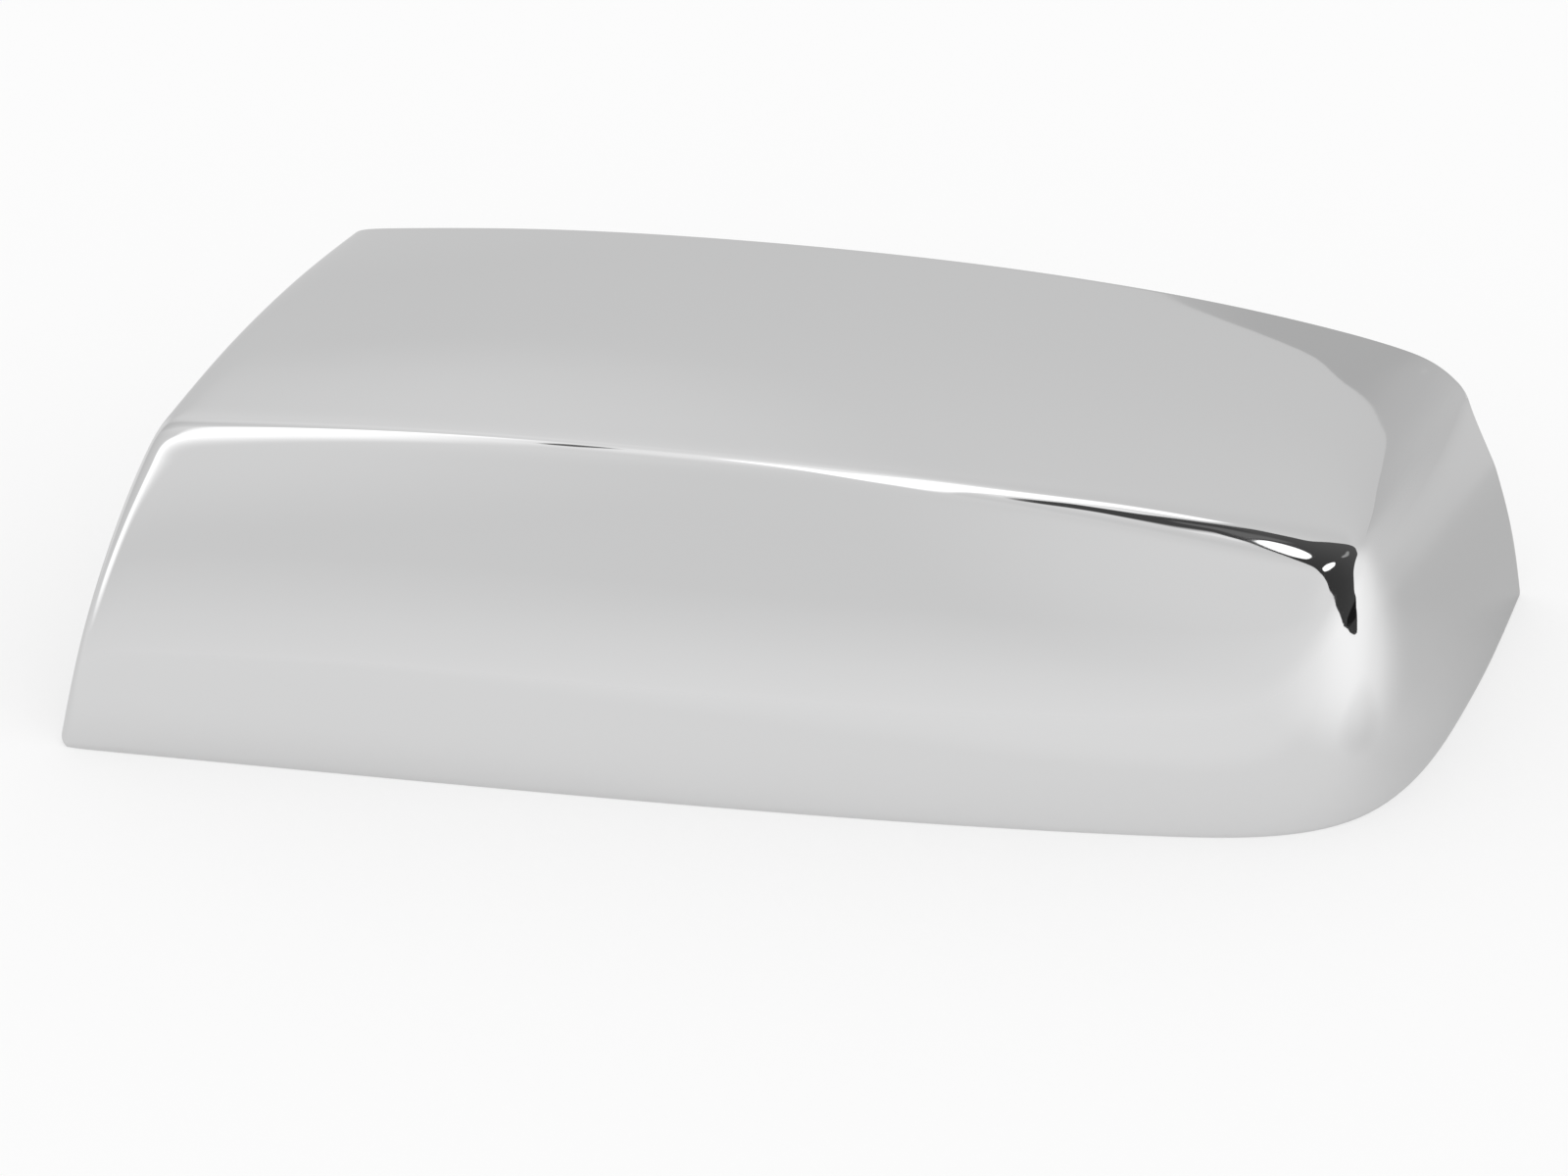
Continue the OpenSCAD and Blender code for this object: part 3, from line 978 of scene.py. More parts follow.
@dataclass(frozen=True)
class PlatingFinish:
    """Metal plating over a moulded surface."""

    name: str
    colour: tuple[float, float, float]
    roughness: float
    haze: float
    haze_scale: float
    ripple_scale: float
    ripple_height: float
    grain_scale: float
    grain_height: float
    # Share of the colour kept along the bottom and rear rims: painted shade, a darker reflection line at these
    # edges.
    rim_shade_tone: float

    def material(self, groups: dict[str, bpy.types.NodeTree]) -> bpy.types.Material:
        """Builds the finish as a material.

        Args:
            groups: The node groups that the finishes share, by name.

        Returns:
            The material.
        """
        material = bpy.data.materials.new(self.name)
        material.use_nodes = True
        nodes, links = material.node_tree.nodes, material.node_tree.links
        shader = nodes["Principled BSDF"]
        shader.inputs["Metallic"].default_value = 1.0
        place = nodes.new("ShaderNodeTexCoord")
        surface = nodes.new("ShaderNodeGroup")
        surface.node_tree = groups["plating_surface"]
        surface.inputs["Roughness"].default_value = self.roughness
        surface.inputs["Haze"].default_value = self.haze
        surface.inputs["Haze Scale"].default_value = self.haze_scale
        surface.inputs["Ripple Scale"].default_value = self.ripple_scale
        surface.inputs["Ripple Height"].default_value = self.ripple_height
        surface.inputs["Grain Scale"].default_value = self.grain_scale
        surface.inputs["Grain Height"].default_value = self.grain_height
        # Darkens the colour in a band along the bottom and rear rims: painted shade.
        rim = nodes.new("ShaderNodeGroup")
        rim.node_tree = groups["painted_rim_shade"]
        tone = nodes.new("ShaderNodeMix")
        tone.data_type = "RGBA"
        colour = (*self.colour, 1.0)
        tone.inputs["A"].default_value = colour
        tone.inputs["B"].default_value = tuple(c * self.rim_shade_tone for c in colour[:3]) + (1.0,)
        bump = nodes.new("ShaderNodeBump")
        bump.inputs["Strength"].default_value = 1.0
        bump.inputs["Distance"].default_value = 1.0
        links.new(place.outputs["Object"], surface.inputs["Place"])
        links.new(place.outputs["Object"], rim.inputs["Place"])
        links.new(rim.outputs["Mask"], tone.inputs["Factor"])
        links.new(tone.outputs["Result"], shader.inputs["Base Color"])
        links.new(surface.outputs["Roughness"], shader.inputs["Roughness"])
        links.new(surface.outputs["Height"], bump.inputs["Height"])
        links.new(bump.outputs["Normal"], shader.inputs["Normal"])
        return material


class SurfaceGroups:
    """Shader node groups that the finishes share."""

    def build(self) -> dict[str, bpy.types.NodeTree]:
        """Builds the groups.

        Returns:
            The groups, by name.
        """
        return {"plating_surface": self._plating_surface(), "painted_rim_shade": self._painted_rim_shade()}

    @staticmethod
    def _started(name: str, values: dict[str, float], outputs: list[str]) -> bpy.types.NodeTree:
        """Starts a group that takes a place and some numbers.

        Args:
            name: Name of the group.
            values: Its number inputs, with their defaults.
            outputs: Its number outputs.

        Returns:
            The group, with its input and output nodes.
        """
        tree = bpy.data.node_groups.new(name, "ShaderNodeTree")
        tree.interface.new_socket("Place", in_out="INPUT", socket_type="NodeSocketVector")
        for key, value in values.items():
            socket = tree.interface.new_socket(key, in_out="INPUT", socket_type="NodeSocketFloat")
            socket.default_value = value
        for key in outputs:
            tree.interface.new_socket(key, in_out="OUTPUT", socket_type="NodeSocketFloat")
        tree.nodes.new("NodeGroupInput")
        tree.nodes.new("NodeGroupOutput")
        return tree

    @staticmethod
    def _math(tree: bpy.types.NodeTree, operation: str, *terms: object) -> bpy.types.NodeSocket:
        """Adds a Math node.

        Args:
            tree: Tree that gets it.
            operation: What it does.
            terms: Its inputs, each a number or a socket.

        Returns:
            Its output.
        """
        node = tree.nodes.new("ShaderNodeMath")
        node.operation = operation
        for socket, term in zip(node.inputs, terms):
            if isinstance(term, bpy.types.NodeSocket):
                tree.links.new(term, socket)
            else:
                socket.default_value = term
        return node.outputs[0]

    def _noise(self, tree: bpy.types.NodeTree, scale: object, detail: float) -> bpy.types.NodeSocket:
        """Adds a noise over the group's place and gives its value."""
        node = tree.nodes.new("ShaderNodeTexNoise")
        node.inputs["Detail"].default_value = detail
        tree.links.new(tree.nodes["Group Input"].outputs["Place"], node.inputs["Vector"])
        tree.links.new(scale, node.inputs["Scale"])
        return node.outputs["Fac"]

    def _plating_surface(self) -> bpy.types.NodeTree:
        """Group for the haze of a plated surface, its slow ripple and its fine grain."""
        values = {
            "Roughness": 0.05, "Haze": 0.02, "Haze Scale": 20.0,
            "Ripple Scale": 60.0, "Ripple Height": 0.0, "Grain Scale": 900.0, "Grain Height": 0.0,
        }
        tree = self._started("plating_surface", values, ["Roughness", "Height"])
        given = tree.nodes["Group Input"].outputs
        out = tree.nodes["Group Output"].inputs
        haze = self._math(tree, "SUBTRACT", self._noise(tree, given["Haze Scale"], 4.0), 0.5)
        haze = self._math(tree, "MULTIPLY", haze, given["Haze"])
        tree.links.new(self._math(tree, "ADD", given["Roughness"], haze), out["Roughness"])
        ripple = self._noise(tree, given["Ripple Scale"], 1.0)
        ripple = self._math(tree, "MULTIPLY", ripple, given["Ripple Height"])
        grain = self._noise(tree, given["Grain Scale"], 2.0)
        grain = self._math(tree, "MULTIPLY", grain, given["Grain Height"])
        tree.links.new(self._math(tree, "ADD", ripple, grain), out["Height"])
        return tree

    def _painted_rim_shade(self) -> bpy.types.NodeTree:
        """Group for the narrow band along the bottom and rear rims, where the colour is darkened as painted
        shade.
        """
        low, high = (Vector(corner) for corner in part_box(NODE))
        values = {"Rim Width": 0.001}
        tree = self._started("painted_rim_shade", values, ["Mask"])
        given = tree.nodes["Group Input"].outputs
        split = tree.nodes.new("ShaderNodeSeparateXYZ")
        tree.links.new(given["Place"], split.inputs[0])
        bands = []
        for reach in (
            self._math(tree, "SUBTRACT", split.outputs["Z"], low.z),
            self._math(tree, "SUBTRACT", high.y, split.outputs["Y"]),
        ):
            share = self._math(tree, "DIVIDE", reach, given["Rim Width"])
            band = self._math(tree, "SUBTRACT", 1.0, share)
            bands.append(self._math(tree, "MAXIMUM", band, 0.0))
        tree.links.new(self._math(tree, "MAXIMUM", *bands), tree.nodes["Group Output"].inputs["Mask"])
        return tree


@dataclass
class CoverMoulding:
    """The whole cover as one plated moulding."""

    moulding: Moulding
    # The last value of each finish darkens its colour along the rims as painted shade.
    outside: PlatingFinish = PlatingFinish(
        "polished_chrome", (0.64, 0.64, 0.642), 0.03, 0.02, 25.0, 60.0, 2e-5, 900.0, 0.0, 0.93
    )
    inside: PlatingFinish = PlatingFinish(
        "satin_plating", (0.55, 0.55, 0.555), 0.3, 0.12, 40.0, 120.0, 1.5e-5, 1400.0, 1.2e-5, 0.93
    )
    smooth_angle: float = 32.0

    def build(self) -> bpy.types.Object:
        """Models the skin and its fittings and fuses them.

        Returns:
            The cover.
        """
        cover = CoverSkin(self.moulding).build()
        fittings = [
            *LocatingPins(self.moulding).build(),
            *SnapHooks(self.moulding).build(),
            *ShoulderWebs(self.moulding).build(),
        ]
        for solid in fittings:
            log.info("fitting %s: %d faces", solid.name, len(solid.data.polygons))
        activate(fittings[0])
        for solid in fittings:
            solid.select_set(True)
            for face in solid.data.polygons:
                face.material_index = 1
        bpy.ops.object.join()
        groups = SurfaceGroups().build()
        for piece in (cover, fittings[0]):
            piece.data.materials.clear()
            for finish in (self.outside, self.inside):
                known = bpy.data.materials.get(finish.name)
                piece.data.materials.append(known or finish.material(groups))
        join_solids(cover, fittings[0])
        activate(cover)
        bpy.ops.object.shade_smooth_by_angle(angle=math.radians(self.smooth_angle))
        return cover


def linked_math(
    tree: bpy.types.NodeTree, operation: str, *terms: float | bpy.types.NodeSocket
) -> bpy.types.NodeSocket:
    """Adds a Math node.

    Args:
        tree: Tree that gets it.
        operation: What it does.
        terms: Its inputs, each a number or a socket.

    Returns:
        Its output.
    """
    node = tree.nodes.new("ShaderNodeMath")
    node.operation = operation
    for socket, term in zip(node.inputs, terms):
        if isinstance(term, bpy.types.NodeSocket):
            tree.links.new(term, socket)
        else:
            socket.default_value = term
    return node.outputs[0]


def linked_range(
    tree: bpy.types.NodeTree, value: bpy.types.NodeSocket, start: tuple[float, float],
    end: tuple[float, float] = (0.0, 1.0), kind: str = "SMOOTHSTEP",
) -> bpy.types.NodeSocket:
    """Adds a Map Range node.

    Args:
        tree: Tree that gets it.
        value: The value it maps.
        start: Range that the value comes from.
        end: Range that it is mapped to.
        kind: How it blends.

    Returns:
        Its output.
    """
    node = tree.nodes.new("ShaderNodeMapRange")
    node.interpolation_type = kind
    for name, number in zip(("From Min", "From Max", "To Min", "To Max"), (*start, *end)):
        node.inputs[name].default_value = number
    tree.links.new(value, node.inputs["Value"])
    return node.outputs["Result"]


def towards(azimuth: float, elevation: float) -> Vector:
    """Direction from the cover: azimuth 0 is straight in front, and 90 is outboard."""
    a, e = math.radians(azimuth), math.radians(elevation)
    return Vector((math.sin(a) * math.cos(e), -math.cos(a) * math.cos(e), math.sin(e)))


@dataclass(frozen=True)
class GlowPatch:
    """Soft round change of the tent's brightness."""

    azimuth: float
    elevation: float
    inner: float
    outer: float
    change: float


@dataclass
class SoftTent:
    """Light tent around the cover, as the world's light.

    Its front and rear walls each have a brightness by elevation, in degrees.
    """

    front: tuple[tuple[float, float], ...] = (
        (-90.0, 1.01), (-8.0, 1.02), (0.0, 1.03), (5.0, 0.99), (12.0, 0.9), (20.0, 0.895),
        (30.0, 0.915), (38.0, 0.94), (46.0, 0.99), (56.0, 1.08), (66.0, 1.2), (90.0, 1.28),
    )
    rear: tuple[tuple[float, float], ...] = (
        (-90.0, 0.73), (-26.0, 0.755), (-15.0, 0.8), (0.0, 0.8), (10.0, 0.81), (20.0, 0.81),
        (30.0, 0.84), (40.0, 0.88), (55.0, 0.925), (68.0, 0.98), (78.0, 1.12), (90.0, 1.28),
    )
    patches: tuple[GlowPatch, ...] = (
        GlowPatch(77.0, 0.0, 22.0, 66.0, 0.37),
        GlowPatch(5.0, -12.0, 8.0, 28.0, 0.05),
        GlowPatch(10.0, 50.0, 3.0, 14.0, -0.11),
        GlowPatch(155.0, 57.0, 4.0, 20.0, -0.07),
        GlowPatch(-93.0, 40.0, 10.0, 50.0, -0.1),
        GlowPatch(-103.0, 53.0, 8.0, 22.0, -0.1),
        GlowPatch(-114.0, 15.0, 14.0, 32.0, 0.25),
        GlowPatch(-153.0, 45.0, 3.0, 17.0, 0.1),
        GlowPatch(-153.0, 60.0, 4.0, 14.0, 0.08),
        GlowPatch(-24.0, 30.0, 2.0, 17.0, 0.08),
        GlowPatch(66.0, -48.0, 5.0, 18.0, -0.1),
        GlowPatch(115.0, -50.0, 8.0, 28.0, 0.06),
        GlowPatch(14.0, 20.0, 5.0, 17.0, 0.09),
    )
    ramp_limit: float = 2.0

    def build(self) -> bpy.types.NodeTree:
        """Sets up the world.

        Returns:
            The node group that gives the tent's brightness in a direction.
        """
        light = self._light()
        world = bpy.data.worlds.new("light_tent")
        bpy.context.scene.world = world
        world.use_nodes = True
        tree = world.node_tree
        group = tree.nodes.new("ShaderNodeGroup")
        group.node_tree = light
        tree.links.new(tree.nodes.new("ShaderNodeTexCoord").outputs["Generated"], group.inputs[0])
        seen = tree.nodes.new("ShaderNodeMix")
        seen.data_type = "FLOAT"
        seen.inputs["B"].default_value = 1.0
        tree.links.new(tree.nodes.new("ShaderNodeLightPath").outputs["Is Camera Ray"], seen.inputs["Factor"])
        tree.links.new(group.outputs[0], seen.inputs["A"])
        tree.links.new(seen.outputs["Result"], tree.nodes["Background"].inputs["Strength"])
        tree.nodes["Background"].inputs["Color"].default_value = (1.0, 1.0, 1.0, 1.0)
        return light

    def _light(self) -> bpy.types.NodeTree:
        """Builds the node group that gives the tent's brightness in a direction."""
        tree = bpy.data.node_groups.new("tent_light", "ShaderNodeTree")
        tree.interface.new_socket("Direction", in_out="INPUT", socket_type="NodeSocketVector")
        tree.interface.new_socket("Brightness", in_out="OUTPUT", socket_type="NodeSocketFloat")
        direction = tree.nodes.new("NodeGroupInput").outputs["Direction"]
        split = tree.nodes.new("ShaderNodeSeparateXYZ")
        tree.links.new(direction, split.inputs[0])
        blend = tree.nodes.new("ShaderNodeMix")
        blend.data_type = "FLOAT"
        tree.links.new(linked_range(tree, split.outputs["Y"], (-0.5, 0.5)), blend.inputs["Factor"])
        for name, wall in (("A", self.front), ("B", self.rear)):
            tree.links.new(self._wall(tree, split.outputs["Z"], wall), blend.inputs[name])
        total = linked_math(tree, "MULTIPLY", blend.outputs["Result"], self.ramp_limit)
        for patch in self.patches:
            near = tree.nodes.new("ShaderNodeVectorMath")
            near.operation = "DOT_PRODUCT"
            near.inputs[1].default_value = towards(patch.azimuth, patch.elevation)
            tree.links.new(direction, near.inputs[0])
            edges = tuple(math.cos(math.radians(angle)) for angle in (patch.outer, patch.inner))
            change = linked_range(tree, near.outputs["Value"], edges, (0.0, patch.change))
            total = linked_math(tree, "ADD", total, change)
        tree.links.new(total, tree.nodes.new("NodeGroupOutput").inputs["Brightness"])
        return tree

    def _wall(
        self, tree: bpy.types.NodeTree, height: bpy.types.NodeSocket, stops: tuple[tuple[float, float], ...]
    ) -> bpy.types.NodeSocket:
        """Adds a ramp of brightness over elevation.

        Args:
            tree: Tree that gets it.
            height: Sine of the elevation.
            stops: Elevations in degrees, each with its brightness.

        Returns:
            The ramp's colour, as a share of its limit.
        """
        node = tree.nodes.new("ShaderNodeValToRGB")
        tree.links.new(linked_range(tree, height, (-1.0, 1.0), kind="LINEAR"), node.inputs["Fac"])
        ramp = node.color_ramp
        while len(ramp.elements) < len(stops):
            ramp.elements.new(0.5)
        for element, (angle, brightness) in zip(ramp.elements, stops):
            element.position = (math.sin(math.radians(angle)) + 1.0) / 2.0
            element.color = (brightness / self.ramp_limit,) * 3 + (1.0,)
        return node.outputs["Color"]


def threaded(points: list[tuple[float, ...]], steps: int, closed: bool) -> list[tuple[float, ...]]:
    """Smooth line through points.

    Args:
        points: Points, each with any number of values.
        steps: How many steps to take between two points.
        closed: Whether the line runs on from the last point to the first.

    Returns:
        Points along the line.
    """
    count = len(points)

    def point(k: int) -> tuple[float, ...]:
        """Point k, round the loop or carried on straight past the ends."""
        if closed or 0 <= k < count:
            return points[k % count]
        end, next_in = (points[0], points[1]) if k < 0 else (points[-1], points[-2])
        return tuple(2.0 * a - b for a, b in zip(end, next_in))

    line = []
    for k in range(count if closed else count - 1):
        for step in range(steps):
            t = step / steps
            line.append(tuple(
                0.5 * (2.0 * b + (c - a) * t + (2.0 * a - 5.0 * b + 4.0 * c - d) * t**2
                       + (3.0 * b - a - 3.0 * c + d) * t**3)
                for a, b, c, d in zip(point(k - 1), point(k), point(k + 1), point(k + 2))
            ))
    return line if closed else [*line, points[-1]]


class StandOff(Enum):
    """How far off a card stands, and how high it lies where it meets the floor, in metres."""

    TENT = (60.0, 0.001)
    BEFORE_TENT = (30.0, 0.002)


class ReflectionCard:
    """Card that only reflections show, on a wide sphere around the cover.

    Places on it are given on the tent's plan: its middle is straight overhead, the circle of
    radius 1 is the horizon, x runs outboard and y to the rear. What lies below the horizon is
    laid on the floor, where the outboard end of the shoulder sees it.
    """

    fade_name = "fade"
    steps = 5
    eye = Vector((0.106, -0.032, 0.042))

    def __init__(self, name: str, brightness: tuple[float, float], stand: StandOff) -> None:
        """Keeps what all cards have.

        Args:
            name: Name of the card.
            brightness: Its brightness at the front and at the rear of the tent.
            stand: How far off it stands.
        """
        self.name = name
        self.brightness = brightness
        self.stand = stand

    def place(self, x: float, y: float) -> Vector:
        """Point of the card at a point of the plan."""
        reach = math.hypot(x, y)
        height = 1.0 - reach * reach
        level = math.sqrt(max(1.0 - height * height, 0.0)) / max(reach, 1e-9)
        distance, lift = self.stand.value
        if height < 0.0:
            distance = min(distance, (self.eye.z - lift) / -height)
        return self.eye + distance * Vector((x * level, y * level, height))

    def dress(self, card: bpy.types.Object, fades: list[float]) -> bpy.types.Object:
        """Gives the card its glow and shows it to reflections only.

        Args:
            card: The card.
            fades: How solid it is at each vertex.

        Returns:
            The card.
        """
        layer = card.data.attributes.new(self.fade_name, "FLOAT", "POINT")
        for item, fade in zip(layer.data, fades):
            item.value = fade
        material = bpy.data.materials.new(self.name)
        material.use_nodes = True
        tree = material.node_tree
        tree.nodes.remove(tree.nodes["Principled BSDF"])
        split = tree.nodes.new("ShaderNodeSeparateXYZ")
        tree.links.new(tree.nodes.new("ShaderNodeTexCoord").outputs["Object"], split.inputs[0])
        span = tuple(share * self.stand.value[0] for share in (-0.95, 0.45))
        glow = tree.nodes.new("ShaderNodeEmission")
        tree.links.new(
            linked_range(tree, split.outputs["Y"], span, self.brightness, "LINEAR"), glow.inputs["Strength"]
        )
        fade = tree.nodes.new("ShaderNodeAttribute")
        fade.attribute_name = self.fade_name
        blend = tree.nodes.new("ShaderNodeMixShader")
        tree.links.new(linked_range(tree, fade.outputs["Fac"], (0.0, 1.0)), blend.inputs["Fac"])
        tree.links.new(tree.nodes.new("ShaderNodeBsdfTransparent").outputs[0], blend.inputs[1])
        tree.links.new(glow.outputs[0], blend.inputs[2])
        tree.links.new(blend.outputs[0], tree.nodes["Material Output"].inputs["Surface"])
        card.data.materials.append(material)
        card.visible_camera = False
        card.visible_diffuse = False
        card.visible_shadow = False
        return card


class OutlinedCard(ReflectionCard):
    """Card with a crisp closed outline."""

    def __init__(
        self, name: str, brightness: tuple[float, float], stand: StandOff,
        middle: tuple[float, float], outline: list[tuple[float, float]],
    ) -> None:
        """Keeps the outline.

        Args:
            name: Name of the card.
            brightness: Its brightness at the front and at the rear of the tent.
            stand: How far off it stands.
            middle: Point of the plan that sees the whole outline.
            outline: Points of the plan that the outline runs through.
        """
        super().__init__(name, brightness, stand)
        self.middle = middle
        self.outline = outline

    def build(self) -> bpy.types.Object:
        """Models the card as a fan of faces.

        Returns:
            The card.
        """
        line = threaded(self.outline, self.steps, closed=True)
        deselect_all()
        bpy.ops.mesh.primitive_circle_add(vertices=len(line), radius=1.0, fill_type="TRIFAN")
        card = new_piece(self.name)
        hub = min(card.data.vertices, key=lambda vertex: vertex.co.length).index
        rim = [vertex.index for vertex in card.data.vertices if vertex.index != hub]
        places = {hub: self.place(*self.middle)}
        places.update((index, self.place(*point)) for index, point in zip(rim, line))
        bpy.ops.object.mode_set(mode="EDIT")
        place_vertices(card, places)
        bpy.ops.object.mode_set(mode="OBJECT")
        return self.dress(card, [1.0] * len(card.data.vertices))


class StripCard(ReflectionCard):
    """Card that runs along a path, with soft edges and ends."""

    def __init__(
        self, name: str, brightness: tuple[float, float], stand: StandOff,
        soft: tuple[float, float], stations: list[tuple[float, ...]],
    ) -> None:
        """Keeps the path.

        Args:
            name: Name of the card.
            brightness: Its brightness at the front and at the rear of the tent.
            stand: How far off it stands.
            soft: Share of the width over which the first and the second edge fade.
            stations: Along the path, x and y of one edge and of the other, and how solid it is.
        """
        super().__init__(name, brightness, stand)
        self.soft = soft
        self.stations = stations

    def build(self) -> bpy.types.Object:
        """Models the card as a strip three faces wide.

        Returns:
            The card.
        """
        rows = threaded(self.stations, self.steps, closed=False)
        shares = (0.0, max(self.soft[0], 0.01), 1.0 - max(self.soft[1], 0.01), 1.0)
        edge_fades = (float(self.soft[0] == 0.0), 1.0, 1.0, float(self.soft[1] == 0.0))
        deselect_all()
        bpy.ops.mesh.primitive_grid_add(x_subdivisions=len(rows) - 1, y_subdivisions=3, size=1.0)
        card = new_piece(self.name)
        places, fades = {}, []
        for vertex in card.data.vertices:
            row = rows[round((vertex.co.x + 0.5) * (len(rows) - 1))]
            across = round((vertex.co.y + 0.5) * 3.0)
            x, y = (mix(row[k], row[k + 2], shares[across]) for k in (0, 1))
            places[vertex.index] = self.place(x, y)
            fades.append(edge_fades[across] * row[4])
        bpy.ops.object.mode_set(mode="EDIT")
        place_vertices(card, places)
        bpy.ops.object.mode_set(mode="OBJECT")
        return self.dress(card, fades)


